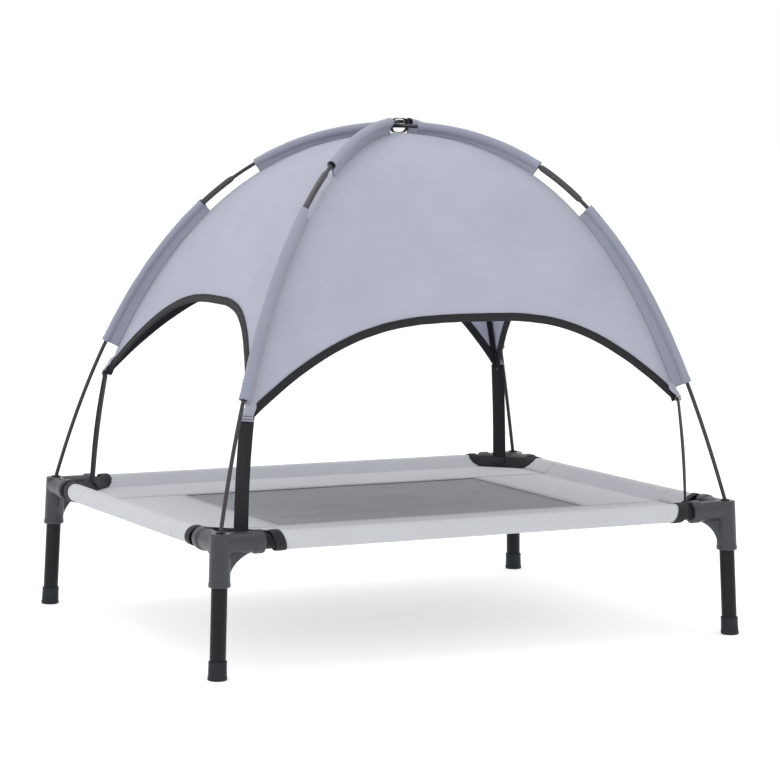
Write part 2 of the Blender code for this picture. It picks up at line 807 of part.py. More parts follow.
def add_crown_tie(canopy, materials):
    def frame(half_width, bottom, top):
        cut = TIE_CHAMFER
        low = [(-half_width, bottom + cut), (-half_width + cut, bottom), (half_width - cut, bottom)]
        high = [(half_width, top - cut), (half_width - cut, top), (-half_width + cut, top)]
        return [*low, (half_width, bottom + cut), *high, (-half_width, top - cut)]

    ends = (-TIE_HALF_LENGTH, TIE_HALF_LENGTH)
    outer = frame(TIE_HALF_WIDTH, TIE_BOTTOM, TIE_TOP)
    inner = frame(TIE_HALF_WIDTH - TIE_THICKNESS, TIE_BOTTOM + TIE_THICKNESS, TIE_TOP - TIE_THICKNESS)
    outlines = [[Vector((x, y, z)) for x, z in outer] for y in ends]
    holes = [[Vector((x, y, z)) for x, z in inner] for y in ends]
    mesh = to_mesh("crown_tie", loft(outlines, holes))
    lean_over(mesh, 0.0)
    place("crown_tie", mesh, materials["webbing"], canopy)


def make_materials():
    return {
        "steel": make_material("black_coated_steel", (0.030, 0.032, 0.036), 0.35, 0.3),
        "foot": make_material("foot_plastic", (0.042, 0.048, 0.056), 0.5),
        "connector": make_material("connector_plastic", (0.055, 0.060, 0.072), 0.45),
        "cap": make_material("cap_plastic", (0.02, 0.02, 0.022), 0.5),
        "canvas": make_material("bed_canvas", (0.62, 0.64, 0.67), 0.9),
        "mesh": make_material("mesh_fabric", (0.26, 0.28, 0.30), 0.9),
        "canopy": make_material("canopy_cloth", (0.47, 0.48, 0.58), 0.85),
        "webbing": make_material("black_webbing", (0.035, 0.035, 0.04), 0.9),
        "pole": make_material("fibreglass", (0.09, 0.095, 0.1), 0.4),
        "ferrule": make_material("dark_ferrule", (0.07, 0.07, 0.075), 0.35, 0.7),
        "cord": make_material("elastic_cord", (0.02, 0.02, 0.02), 0.9),
    }


def main():
    clear_scene()
    materials = make_materials()
    frame = make_empty("bed_frame")
    add_corners(frame, materials)
    add_rails(frame, materials)
    add_cover(frame, materials)
    canopy = make_empty("canopy_lift", location=(0, 0, 0))
    seam = seam_path()
    add_panels(canopy, materials, seam)
    for corner, signs in CORNERS.items():
        add_arm(corner, signs, canopy, materials, seam)
    add_pole_middles(canopy, materials)
    add_crown_tie(canopy, materials)


main()
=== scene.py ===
"""The finished look of a raised dog bed with a lift-off canopy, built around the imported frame.

Metres, +Z up, in the frame's own coordinates: X along the long rails, the front at -Y.
"""

import math

import bmesh
import bpy
import numpy as np
from mathutils import Matrix, Vector, noise


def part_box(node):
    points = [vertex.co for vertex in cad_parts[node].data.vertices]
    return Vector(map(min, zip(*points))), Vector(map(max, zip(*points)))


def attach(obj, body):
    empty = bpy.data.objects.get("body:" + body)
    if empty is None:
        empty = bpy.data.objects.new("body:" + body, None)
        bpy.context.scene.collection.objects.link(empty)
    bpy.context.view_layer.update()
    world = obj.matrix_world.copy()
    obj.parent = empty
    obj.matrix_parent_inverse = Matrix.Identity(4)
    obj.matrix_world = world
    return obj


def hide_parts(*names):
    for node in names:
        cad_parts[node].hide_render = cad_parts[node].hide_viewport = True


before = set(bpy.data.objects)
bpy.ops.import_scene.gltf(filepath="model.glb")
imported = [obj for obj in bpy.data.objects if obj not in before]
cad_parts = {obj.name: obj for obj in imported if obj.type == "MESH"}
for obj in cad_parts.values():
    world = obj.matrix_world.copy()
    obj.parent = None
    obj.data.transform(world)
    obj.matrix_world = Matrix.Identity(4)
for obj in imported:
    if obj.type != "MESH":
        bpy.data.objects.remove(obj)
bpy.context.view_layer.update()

# Camera: the photograph's angle and framing.
CAMERA_PLACE = (-1.73539, -3.46690, 0.70297)
CAMERA_AZIMUTH = -0.466496
CAMERA_ELEVATION = 0.100090
CAMERA_ROLL = 0.0075763
CAMERA_LENS = 132.5

# Places read from the frame.
RAIL_LOW, RAIL_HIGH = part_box("rail_front")
SIDE_LOW, SIDE_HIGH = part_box("rail_left")
WINDOW_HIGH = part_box("cover_mesh_window")[1]
HALF_X = -(SIDE_LOW.x + SIDE_HIGH.x) / 2
HALF_Y = -(RAIL_LOW.y + RAIL_HIGH.y) / 2
RAIL_Z = (RAIL_LOW.z + RAIL_HIGH.z) / 2
DIAGONAL = math.hypot(HALF_X, HALF_Y)
CORNERS = {
    "front_left": (-1, -1),
    "front_right": (1, -1),
    "back_left": (-1, 1),
    "back_right": (1, 1),
}

# Frame pieces, repeated from the CAD.
SPLAY = math.tan(math.radians(2.23))
TUBE_RADIUS = 0.010
TUBE_WALL = 0.0012
GAP = 0.0003
SEAT_RADIUS = TUBE_RADIUS + GAP
FOOT_HEIGHT = 0.0235
FOOT_FLOOR = 0.0027
FOOT_TOP_RADIUS = 0.0111
FOOT_BOTTOM_RADIUS = 0.01225
POST_RADIUS = 0.01325
POST_BOTTOM = 0.1134
POST_TOP = 0.1793
LEG_SEAT_TOP = 0.150
SOCKET_RADIUS = 0.013
SOCKET_REACH = 0.056
SOCKET_FLOOR = 0.014
COLLAR_RADIUS = 0.015
COLLAR_LENGTH = 0.013
WEB_THICKNESS = 0.004
WEB_REACH = 0.042
WEB_BOTTOM = 0.127
CAP_RADIUS = 0.0050
CAP_FLANGE_RADIUS = 0.0062
CAP_BOTTOM = 0.1590
CAP_TOP = 0.1808
CAP_FLOOR = 0.1650
CAP_HOLE_RADIUS = 0.0033
CAP_PLACE = SPLAY * (POST_TOP - RAIL_Z)
FILLET_VOXEL = 0.0011

# Bed cover.
DECK_TOP = 0.1625
CLOTH = 0.0009
HEM_LAP = 0.0045
WINDOW_MARGIN = 0.010
WINDOW_SAG = 0.0028
TRIM_THICKNESS = 0.0011
SLEEVE_RADIUS = 0.0117
TANGENT_DEPTH = 0.0215
HEM_DEPTH = 0.0275
CUT_SUM = 0.0885
CUT_REACH = 0.076
CUT_SLANT = 0.008
BAND_OUTER_SUM = 0.0925
BAND_INNER_SUM = 0.074
BAND_OUTER_REACH = 0.0780
BAND_INNER_REACH = 0.064
BAND_RISE = 0.1770
RING_RADIUS = 0.0124

# Poles.
POLE_RADIUS = 0.0026
POLE_WALL = 0.0010
FOOT_LEAN = math.radians(16.7)
FOOT_PULL = 0.285
CROWN_PULL = 0.2586
CROWN_HEIGHT = 0.6736
CROWN_SHIFT = 0.0215
SHIFT_POWER = 2.17
POLE_CROSSING = 2 * POLE_RADIUS + GAP
FERRULES = {
    "front_left": 0.488,
    "front_right": 0.503,
    "back_left": 0.468,
    "back_right": 0.488,
}
FERRULE_LENGTH = 0.072
FERRULE_TAPER = 0.005
FERRULE_RADIUS = 0.0042
FERRULE_LIP = 0.0005

# Canopy cloth.
SLEEVE_FEET = {
    "front_left": 0.181,
    "front_right": 0.179,
    "back_left": 0.219,
    "back_right": 0.185,
}
WINDOW_START = 0.452
WINDOW_END = 0.541
SLEEVE_CROWN = 0.719
POCKET_RADIUS = 0.0056
POCKET_CLOTH = 0.0006
POCKET_MOUTH = math.radians(24)
TIP_DEPTH = 0.022
CROWN_DEPTH = 0.013
TIP_HEIGHTS = {
    "front_left": 0.308,
    "front_right": 0.308,
    "back_left": 0.322,
    "back_right": 0.308,
}
ARCH_HEIGHTS = {"front": 0.423, "right": 0.441, "back": 0.455, "left": 0.441}
ARCH_POWERS = {"front": 3.2, "right": 3.1, "back": 4.0, "left": 3.1}
ARCH_PEAKS = {"front": 0.09, "right": 0.0, "back": 0.0, "left": 0.14}
SIDES = {
    "front": ("front_left", "front_right"),
    "right": ("front_right", "back_right"),
    "back": ("back_right", "back_left"),
    "left": ("back_left", "front_left"),
}
BINDING_WIDTH = 0.0090
BINDING_THICKNESS = 0.0034
BINDING_SPAN = 0.984
BINDING_OVERRUN = 0.0015
SLOW_WAVE = 0.0030
FINE_WAVE = 0.0012
SEAM_PUCKER = 0.0006
SEAM_TAPE_HALF_WIDTH = 0.0042
SEAM_TAPE_THICKNESS = 0.0008

# Straps and the crown tie.
STRAP_WIDTH = 0.020
STRAP_THICKNESS = 0.0015
STRAP_BOTTOM = (0.4125, 0.1768)
STRAP_LAP = 0.008
STRAP_SLACK = 0.0022
TAB_THICKNESS = 0.0012
WRAP_FOOT = 0.002
WRAP_HEIGHT = 0.030
WRAP_THICKNESS = 0.0007
TIE_TAPE_THICKNESS = 0.001
TIE_HALF_WIDTH = 0.0122
TIE_HALF_LENGTH = 0.004
TIE_BOTTOM = 0.6615
TIE_TOP = 0.6813

# Sewing.
STITCH_PITCH = 0.0036
STITCH_LENGTH = 0.0026
STITCH_RADIUS = 0.00032

ROUND = 48
SMOOTH_ANGLE = math.radians(40)


# Mesh building.


class Surface:
    """Points and faces gathered for one mesh, with the cloth's own flat coordinates."""

    def __init__(self):
        self.points = []
        self.faces = []
        self.flat = []

    def grid(self, rows, flat=None, loop=False):
        start = len(self.points)
        width = len(rows[0])
        for r, row in enumerate(rows):
            for c, point in enumerate(row):
                self.points.append(tuple(point))
                self.flat.append(flat[r][c] if flat else (c * 0.004, r * 0.004))
        for r in range(len(rows) - 1):
            for c in range(width if loop else width - 1):
                d = (c + 1) % width
                low = start + r * width
                self.faces.append((low + c, low + d, low + width + d, low + width + c))

    def fan(self, ring):
        """Close a ring of points with one face."""
        start = len(self.points)
        self.points.extend(tuple(point) for point in ring)
        self.flat.extend((point[0], point[1]) for point in ring)
        self.faces.append(tuple(range(start, start + len(ring))))

    def tube(self, sections):
        """A skin over rings of points that share one count, closed at both ends."""
        self.grid(sections, flat_of(sections), loop=True)
        self.fan(sections[0])
        self.fan(sections[-1])

    def area(self):
        points = np.array(self.points)
        total = 0.0
        for face in self.faces:
            corners = points[list(face)]
            for first, second in zip(corners[1:-1], corners[2:]):
                total += np.linalg.norm(np.cross(first - corners[0], second - corners[0])) / 2
        return total

    def mesh(self, name):
        mesh = bpy.data.meshes.new(name)
        mesh.from_pydata(self.points, [], self.faces)
        layer = mesh.uv_layers.new(name="cloth")
        corner = np.zeros(len(mesh.loops), np.int64)
        mesh.loops.foreach_get("vertex_index", corner)
        layer.data.foreach_set("uv", np.array(self.flat)[corner].astype(np.float32).ravel())
        return mesh


def flat_of(rows):
    """Distances across and along a grid, for the weave to follow."""
    rows = np.array([[tuple(point) for point in row] for row in rows])
    across = np.zeros(rows.shape[:2])
    along = np.zeros(rows.shape[:2])
    across[:, 1:] = np.cumsum(np.linalg.norm(np.diff(rows, axis=1), axis=2), axis=1)
    along[1:, :] = np.cumsum(np.linalg.norm(np.diff(rows, axis=0), axis=2), axis=0)
    return [list(zip(a, b)) for a, b in zip(across, along)]


def add_piece(name, mesh, material, body, slot, nodes=(), thickness=0.0, weld=True):
    if weld:
        bm = bmesh.new()
        bm.from_mesh(mesh)
        bmesh.ops.remove_doubles(bm, verts=bm.verts, dist=1e-6)
        bmesh.ops.recalc_face_normals(bm, faces=bm.faces)
        bm.to_mesh(mesh)
        bm.free()
    if body == "canopy":
        lean_over(mesh)
    mesh.shade_smooth()
    mesh.set_sharp_from_angle(angle=SMOOTH_ANGLE)
    mesh.materials.clear()
    mesh.materials.append(material)
    piece = bpy.data.objects.new(name, mesh)
    bpy.context.scene.collection.objects.link(piece)
    if thickness:
        shell = piece.modifiers.new("thickness", "SOLIDIFY")
        shell.thickness = thickness
        shell.offset = 0
    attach(piece, body)
    if nodes:
        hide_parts(*nodes)
    return piece


def lean_over(mesh):
    """The soft dome stands a little skew: it leans to +X, more towards the crown."""
    run = CROWN_HEIGHT - POST_TOP
    for vert in mesh.vertices:
        rise = min(max((vert.co.z - POST_TOP) / run, 0.0), 1.0)
        vert.co.x += CROWN_SHIFT * rise**SHIFT_POWER


def lathe(profile, sides=ROUND):
    """Rings of points round Z for (radius, height) pairs."""
    angles = [2 * math.pi * index / sides for index in range(sides)]
    return [[Vector((r * math.cos(a), r * math.sin(a), z)) for a in angles] for r, z in profile]


def rounded(profile, radius=0.0006, steps=3):
    """A profile with its inner corners rounded off."""
    points = [Vector(p) for p in profile]
    out = [points[0]]
    for before, corner, after in zip(points, points[1:], points[2:]):
        reach = min(radius, (corner - before).length * 0.45, (after - corner).length * 0.45)
        start = corner + (before - corner).normalized() * reach
        end = corner + (after - corner).normalized() * reach
        for step in range(steps + 1):
            t = step / steps
            out.append(start * (1 - t) ** 2 + corner * 2 * t * (1 - t) + end * t * t)
    out.append(points[-1])
    return [tuple(p) for p in out]


def leaned(rows):
    """A corner piece's lean: its foot moves away from the bed."""
    for row in rows:
        for point in row:
            shift = SPLAY * (point.z - RAIL_Z)
            point.x += shift
            point.y += shift
    return rows


def at_corner(mesh, signs):
    """A copy of a front-left mesh, mirrored into another corner's place."""
    copy = mesh.copy()
    copy.transform(Matrix.Diagonal((-signs[0], -signs[1], 1, 1)))
    copy.transform(Matrix.Translation((signs[0] * HALF_X, signs[1] * HALF_Y, 0)))
    if signs[0] * signs[1] < 0:
        copy.flip_normals()
    return copy


def add_stitches(surface, line, outward, pitch=STITCH_PITCH, length=STITCH_LENGTH, radius=STITCH_RADIUS):
    """A row of short raised threads along a line of points, standing out along each point's direction."""
    line = np.array([tuple(point) for point in line])
    outward = np.array([tuple(point) for point in outward])
    steps = np.linalg.norm(np.diff(line, axis=0), axis=1)
    travelled = np.concatenate([[0], np.cumsum(steps)])
    count = int(travelled[-1] / pitch)
    for index in range(count):
        middle = (index + 0.5) * pitch
        ends = []
        for share in (-0.5, -0.28, 0.28, 0.5):
            place = middle + length * share
            ends.append(Vector([np.interp(place, travelled, line[:, axis]) for axis in range(3)]))
        up = Vector([np.interp(middle, travelled, outward[:, axis]) for axis in range(3)]).normalized()
        run = (ends[-1] - ends[0]).normalized()
        side = run.cross(up).normalized()
        rings = []
        for place, share in zip(ends, (0.25, 1.0, 1.0, 0.25)):
            lift = up * radius * (share - 0.4)
            ring = []
            for turn in range(5):
                angle = 2 * math.pi * turn / 5
                ring.append(place + lift + (side * math.cos(angle) + up * math.sin(angle)) * radius * share)
            rings.append(ring)
        surface.grid(rings, loop=True)
        surface.fan(rings[0])
        surface.fan(rings[-1])


# Materials.


class Nodes:
    """Short calls for building one material's node tree."""

    def __init__(self, name):
        self.material = bpy.data.materials.new(name)
        self.material.use_nodes = True
        self.tree = self.material.node_tree
        self.shader = self.tree.nodes["Principled BSDF"]

    def add(self, kind, **settings):
        node = self.tree.nodes.new(kind)
        for key, value in settings.items():
            setattr(node, key, value)
        return node

    def link(self, source, target):
        self.tree.links.new(source, target)

    def noise(self, coordinates, scale, detail=4.0, roughness=0.55):
        node = self.add("ShaderNodeTexNoise")
        node.inputs["Scale"].default_value = scale
        node.inputs["Detail"].default_value = detail
        node.inputs["Roughness"].default_value = roughness
        self.link(coordinates, node.inputs["Vector"])
        return node.outputs["Fac"]

    def wave(self, coordinates, period, direction, distortion=0.0):
        node = self.add("ShaderNodeTexWave", wave_type="BANDS", bands_direction=direction)
        node.inputs["Scale"].default_value = 2 * math.pi / 20 / period
        node.inputs["Distortion"].default_value = distortion
        self.link(coordinates, node.inputs["Vector"])
        return node.outputs["Fac"]

    def maths(self, operation, first, second):
        node = self.add("ShaderNodeMath", operation=operation)
        for socket, value in zip(node.inputs, (first, second)):
            if isinstance(value, (int, float)):
                socket.default_value = value
            else:
                self.link(value, socket)
        return node.outputs["Value"]

    def ramp(self, factor, dark, light, low=0.0, high=1.0):
        node = self.add("ShaderNodeValToRGB")
        node.color_ramp.elements[0].position = low
        node.color_ramp.elements[0].color = (*dark, 1)
        node.color_ramp.elements[1].position = high
        node.color_ramp.elements[1].color = (*light, 1)
        self.link(factor, node.inputs["Fac"])
        return node.outputs["Color"]

    def between(self, factor, low, high):
        node = self.add("ShaderNodeMapRange")
        node.inputs["To Min"].default_value = low
        node.inputs["To Max"].default_value = high
        self.link(factor, node.inputs["Value"])
        return node.outputs["Result"]

    def bump(self, height, distance, strength=1.0):
        node = self.add("ShaderNodeBump")
        node.inputs["Distance"].default_value = distance
        node.inputs["Strength"].default_value = strength
        self.link(height, node.inputs["Height"])
        return node.outputs["Normal"]

    def set(self, **values):
        for key, value in values.items():
            self.shader.inputs[key.replace("_", " ")].default_value = value

    def cloth_coordinates(self):
        return self.add("ShaderNodeUVMap", uv_map="cloth").outputs["UV"]

    def object_coordinates(self):
        return self.add("ShaderNodeTexCoord").outputs["Object"]


def scaled(colour, factor):
    return tuple(min(channel * factor, 1.0) for channel in colour)


def cloth_material(name, colour, thread=0.0009, light_through=0.0, variation=0.06):
    """Plain-woven cloth: two crossed sets of threads, slubs, and slow changes of shade."""
    nodes = Nodes(name)
    flat = nodes.cloth_coordinates()
    place = nodes.object_coordinates()
    warp = nodes.wave(flat, thread, "X", 0.4)
    weft = nodes.wave(flat, thread, "Y", 0.4)
    weave = nodes.maths("MULTIPLY", warp, weft)
    slub = nodes.noise(place, 900.0, 2.0)
    height = nodes.maths("ADD", weave, nodes.maths("MULTIPLY", slub, 0.5))
    clouds = nodes.noise(place, 14.0, 5.0, 0.6)
    shade = nodes.maths("ADD", nodes.maths("MULTIPLY", clouds, 0.75), nodes.maths("MULTIPLY", weave, 0.25))
    tint = nodes.ramp(shade, scaled(colour, 1 - variation), scaled(colour, 1 + variation), 0.25, 0.75)
    nodes.link(tint, nodes.shader.inputs["Base Color"])
    nodes.link(nodes.between(slub, 0.78, 0.92), nodes.shader.inputs["Roughness"])
    normal = nodes.bump(height, 0.00012, 0.7)
    nodes.link(normal, nodes.shader.inputs["Normal"])
    nodes.set(Sheen_Weight=0.25, Sheen_Roughness=0.5)
    if light_through:
        glow = nodes.add("ShaderNodeBsdfTranslucent")
        nodes.link(tint, glow.inputs["Color"])
        nodes.link(normal, glow.inputs["Normal"])
        mixed = nodes.add("ShaderNodeMixShader")
        mixed.inputs["Fac"].default_value = light_through
        nodes.link(nodes.shader.outputs["BSDF"], mixed.inputs[1])
        nodes.link(glow.outputs["BSDF"], mixed.inputs[2])
        output = nodes.tree.nodes["Material Output"]
        nodes.link(mixed.outputs["Shader"], output.inputs["Surface"])
    return nodes.material


def mesh_material(name, thread_colour, hole_painted_shade, pitch=0.0022):
    """Open netting: rows of small holes between pale threads, offset row by row. The holes are not cut open;
    they are painted dark as the shade seen through them.
    """
    nodes = Nodes(name)
    flat = nodes.cloth_coordinates()
    turned = nodes.add("ShaderNodeMapping")
    turned.inputs["Rotation"].default_value = (0, 0, math.radians(45))
    nodes.link(flat, turned.inputs["Vector"])
    first = nodes.wave(turned.outputs["Vector"], pitch, "X")
    second = nodes.wave(turned.outputs["Vector"], pitch, "Y")
    holes = nodes.maths("MULTIPLY", first, second)
    clouds = nodes.noise(nodes.object_coordinates(), 20.0, 4.0)
    open_share = nodes.maths("ADD", holes, nodes.maths("MULTIPLY", clouds, 0.1))
    # Painted shade: the holes take a dark colour that stands in for the shaded space under the deck.
    tint = nodes.ramp(open_share, thread_colour, hole_painted_shade, 0.22, 0.55)
    nodes.link(tint, nodes.shader.inputs["Base Color"])
    nodes.link(nodes.bump(nodes.maths("SUBTRACT", 1.0, holes), 0.0004, 0.8), nodes.shader.inputs["Normal"])
    nodes.set(Roughness=0.8, Sheen_Weight=0.15)
    return nodes.material


def webbing_material(name, colour, rib=0.0012):
    """Ribbed woven tape, lighter on the rib tops and darker in the grooves: painted highlight and painted
    shade, over random fibre tone.
    """
    nodes = Nodes(name)
    flat = nodes.cloth_coordinates()
    rib_lines = nodes.wave(flat, rib, "DIAGONAL", 0.6)
    cross = nodes.wave(flat, rib * 0.7, "Y", 0.4)
    height = nodes.maths("ADD", rib_lines, nodes.maths("MULTIPLY", cross, 0.5))
    fuzz = nodes.noise(nodes.object_coordinates(), 600.0, 3.0)
    # The colour follows the rib height as well as random fibre fuzz: painted highlights on the rib tops,
    # painted shade in the grooves.
    shade = nodes.maths("MULTIPLY", nodes.maths("ADD", height, fuzz), 0.45)
    nodes.link(nodes.ramp(shade, scaled(colour, 0.7), scaled(colour, 1.5)), nodes.shader.inputs["Base Color"])
    nodes.link(nodes.between(fuzz, 0.7, 0.9), nodes.shader.inputs["Roughness"])
    nodes.link(nodes.bump(height, 0.0002, 0.8), nodes.shader.inputs["Normal"])
    nodes.set(Sheen_Weight=0.08, Specular_IOR_Level=0.25)
    return nodes.material


def moulded_material(name, colour, roughness=(0.38, 0.52), gloss=0.35, grain=1400.0):
    """Moulded plastic or powder coat: a fine grain with slow changes of gloss."""
    nodes = Nodes(name)
    place = nodes.object_coordinates()
    fine = nodes.noise(place, grain, 3.0)
    slow = nodes.noise(place, 45.0, 4.0)
    tint = nodes.ramp(slow, scaled(colour, 0.85), scaled(colour, 1.2), 0.3, 0.7)
    nodes.link(tint, nodes.shader.inputs["Base Color"])
    nodes.link(nodes.between(slow, *roughness), nodes.shader.inputs["Roughness"])
    nodes.link(nodes.bump(fine, 0.00005, 0.6), nodes.shader.inputs["Normal"])
    nodes.set(Specular_IOR_Level=gloss)
    return nodes.material


def metal_material(name, colour, metallic):
    """Drawn or pulled stock: fine streaks of shade and gloss."""
    nodes = Nodes(name)
    place = nodes.object_coordinates()
    streaks = nodes.noise(place, 300.0, 4.0)
    tint = nodes.ramp(streaks, scaled(colour, 0.8), scaled(colour, 1.3), 0.3, 0.7)
    nodes.link(tint, nodes.shader.inputs["Base Color"])
    nodes.link(nodes.between(streaks, 0.28, 0.42), nodes.shader.inputs["Roughness"])
    nodes.set(Metallic=metallic)
    return nodes.material


MATERIALS = {
    "coated_steel": moulded_material("powder_coated_steel", (0.007, 0.008, 0.010), (0.38, 0.5), 0.2, 2200.0),
    "foot_plastic": moulded_material("foot_plastic", (0.014, 0.017, 0.022), (0.5, 0.62), 0.22),
    "connector_plastic": moulded_material("connector_plastic", (0.030, 0.034, 0.042), (0.3, 0.42), 0.45),
    "cap_plastic": moulded_material("cap_plastic", (0.012, 0.012, 0.014)),
    "bed_canvas": cloth_material("bed_canvas", (0.49, 0.505, 0.535), 0.0010, variation=0.04),
    # The netting's second colour is painted shade for its holes.
    "mesh_fabric": mesh_material("mesh_fabric", (0.31, 0.33, 0.35), (0.12, 0.125, 0.13)),
    "canopy_cloth": cloth_material("canopy_cloth", (0.585, 0.60, 0.695), 0.0007, light_through=0.42),
    "black_webbing": webbing_material("black_webbing", (0.014, 0.014, 0.017)),
    "fibreglass_pole": metal_material("fibreglass_pole", (0.02, 0.022, 0.026), 0.0),
    "dark_ferrule": metal_material("dark_ferrule", (0.06, 0.062, 0.066), 0.6),
    "elastic_cord": webbing_material("elastic_cord", (0.02, 0.02, 0.02), 0.0006),
}
# The sleeves' cloth is the canopy cloth at about half its colour, with less light through it. The darker
# colour is painted shade for the doubled sleeve cloth, which has no light behind it.
SHADED_SLEEVE_CLOTH = cloth_material("canopy_sleeve_cloth_painted_shade", (0.29, 0.305, 0.385), 0.0007, light_through=0.1)
CANVAS_THREAD = cloth_material("canvas_thread", (0.50, 0.52, 0.56), 0.0004)
DARK_THREAD = webbing_material("dark_thread", (0.02, 0.02, 0.024), 0.0005)


# Legs, feet, connectors, caps and rails.


def foot_mesh():
    ridge = 0.0004
    profile = [
        (0.0, 0.0),
        (FOOT_BOTTOM_RADIUS - 0.0012, 0.0),
        (FOOT_BOTTOM_RADIUS, 0.0012),
        (FOOT_BOTTOM_RADIUS - 0.0001, 0.0042),
        (FOOT_BOTTOM_RADIUS - ridge - 0.0002, 0.0046),
        (FOOT_TOP_RADIUS + 0.0002, FOOT_HEIGHT - 0.0032),
        (FOOT_TOP_RADIUS + ridge, FOOT_HEIGHT - 0.0028),
        (FOOT_TOP_RADIUS + ridge, FOOT_HEIGHT - 0.0006),
        (FOOT_TOP_RADIUS, FOOT_HEIGHT),
        (SEAT_RADIUS, FOOT_HEIGHT),
        (SEAT_RADIUS, FOOT_FLOOR),
        (0.0, FOOT_FLOOR),
    ]
    surface = Surface()
    rows = leaned(lathe(rounded(profile, 0.0004)))
    surface.grid(rows, flat_of(rows), loop=True)
    return surface.mesh("foot_cap")


def tube_profile(bottom, top):
    inner = TUBE_RADIUS - TUBE_WALL
    return [(inner, bottom), (TUBE_RADIUS, bottom), (TUBE_RADIUS, top), (inner, top)]


def leg_mesh():
    rows = lathe(rounded(tube_profile(FOOT_FLOOR + GAP, LEG_SEAT_TOP - GAP), 0.0003))
    surface = Surface()
    rows = leaned(rows)
    surface.grid([*rows, rows[0]], loop=True)
    return surface.mesh("leg_tube")


def cap_mesh():
    profile = [
        (0.0, CAP_BOTTOM),
        (CAP_RADIUS, CAP_BOTTOM),
        (CAP_RADIUS, POST_TOP + GAP),
        (CAP_FLANGE_RADIUS, POST_TOP + GAP),
        (CAP_FLANGE_RADIUS, CAP_TOP),
        (CAP_HOLE_RADIUS, CAP_TOP),
        (CAP_HOLE_RADIUS, CAP_FLOOR),
        (0.0, CAP_FLOOR),
    ]
    rows = lathe(rounded(profile, 0.0004))
    for row in rows:
        for point in row:
            point.x += CAP_PLACE
            point.y += CAP_PLACE
    surface = Surface()
    surface.grid(rows, loop=True)
    return surface.mesh("pole_cap")


def rod(start, end, radius):
    """A solid round bar in a bmesh."""
    start = Vector(start)
    run = Vector(end) - start
    bm = bmesh.new()
    turn = run.to_track_quat("Z", "Y").to_matrix().to_4x4()
    bmesh.ops.create_cone(
        bm,
        cap_ends=True,
        segments=ROUND,
        radius1=radius,
        radius2=radius,
        depth=run.length,
        matrix=Matrix.Translation(start + run / 2) @ turn,
    )
    return bm


def splay_solid(bm):
    for vert in bm.verts:
        shift = SPLAY * (vert.co.z - RAIL_Z)
        vert.co.x += shift
        vert.co.y += shift
    return bm


def helper(bm):
    mesh = bpy.data.meshes.new("helper")
    bm.to_mesh(mesh)
    bm.free()
    piece = bpy.data.objects.new("helper", mesh)
    bpy.context.scene.collection.objects.link(piece)
    return piece


def evaluated_copy(piece):
    bpy.context.view_layer.update()
    graph = bpy.context.evaluated_depsgraph_get()
    return bpy.data.meshes.new_from_object(piece.evaluated_get(graph), depsgraph=graph)


def remove(pieces):
    for piece in pieces:
        bpy.data.objects.remove(piece, do_unlink=True)


def web_solid(direction):
    """The brace under a socket, hollowed along its slope."""
    low = RAIL_Z - SOCKET_RADIUS / 2
    outline = [(0.004, WEB_BOTTOM)]
    start = Vector((POST_RADIUS - 0.001, WEB_BOTTOM))
    middle = Vector((POST_RADIUS + 0.006, low - 0.014))
    end = Vector((WEB_REACH, low - 0.006))
    for step in range(9):
        t = step / 8
        outline.append(tuple(start * (1 - t) ** 2 + middle * 2 * t * (1 - t) + end * t * t))
    outline.append((0.004, low))
    across = Vector((direction[1], direction[0], 0)) * WEB_THICKNESS
    bm = bmesh.new()
    verts = [bm.verts.new(Vector(direction) * r + Vector((0, 0, z)) - across / 2) for r, z in outline]
    raised = bmesh.ops.extrude_face_region(bm, geom=[bm.faces.new(verts)])
    moved = [item for item in raised["geom"] if isinstance(item, bmesh.types.BMVert)]
    bmesh.ops.translate(bm, verts=moved, vec=across)
    bmesh.ops.recalc_face_normals(bm, faces=bm.faces)
    return bm


def connector_mesh():
    """The moulded corner: solids fused, softened where they meet, and then bored."""
    level = Vector((0, 0, RAIL_Z))
    body = helper(splay_solid(rod((0, 0, POST_BOTTOM), (0, 0, POST_TOP), POST_RADIUS)))
    rim = helper(splay_solid(rod((0, 0, POST_BOTTOM), (0, 0, POST_BOTTOM + 0.005), POST_RADIUS + 0.0007)))
    joined = [rim]
    bores = [helper(splay_solid(rod((0, 0, POST_BOTTOM - 0.01), (0, 0, LEG_SEAT_TOP), SEAT_RADIUS)))]
    seat = Vector((CAP_PLACE, CAP_PLACE, CAP_BOTTOM - GAP))
    bores.append(helper(rod(seat, seat + Vector((0, 0, 0.04)), CAP_RADIUS + GAP)))
    for direction in ((1, 0, 0), (0, 1, 0)):
        axis = Vector(direction)
        mouth = level + axis * SOCKET_REACH
        joined.append(helper(rod(level, mouth - axis * 0.001, SOCKET_RADIUS)))
        joined.append(helper(rod(mouth - axis * COLLAR_LENGTH, mouth, COLLAR_RADIUS)))
        joined.append(helper(web_solid(direction)))
        bores.append(helper(rod(level + axis * SOCKET_FLOOR, mouth + axis * 0.01, SEAT_RADIUS)))
    for other in joined:
        step = body.modifiers.new("join", "BOOLEAN")
        step.operation = "UNION"
        step.object = other
    remesh = body.modifiers.new("remesh", "REMESH")
    remesh.mode = "VOXEL"
    remesh.voxel_size = FILLET_VOXEL
    soften = body.modifiers.new("soften", "SMOOTH")
    soften.factor = 0.5
    soften.iterations = 7
    for other in bores:
        step = body.modifiers.new("bore", "BOOLEAN")
        step.operation = "DIFFERENCE"
        step.object = other
    mesh = evaluated_copy(body)
    remove([body, *joined, *bores])
    return mesh


def add_corner_pieces():
    made = {
        "foot_cap": (foot_mesh(), "foot_plastic"),
        "leg_tube": (leg_mesh(), "coated_steel"),
        "corner_connector": (connector_mesh(), "connector_plastic"),
        "pole_cap": (cap_mesh(), "cap_plastic"),
    }
    for corner, signs in CORNERS.items():
        for kind, (mesh, finish) in made.items():
            node = f"{kind}_{corner}"
            copy = at_corner(mesh, signs)
            add_piece(node + "_fine", copy, MATERIALS[finish], "bed", finish, [node])


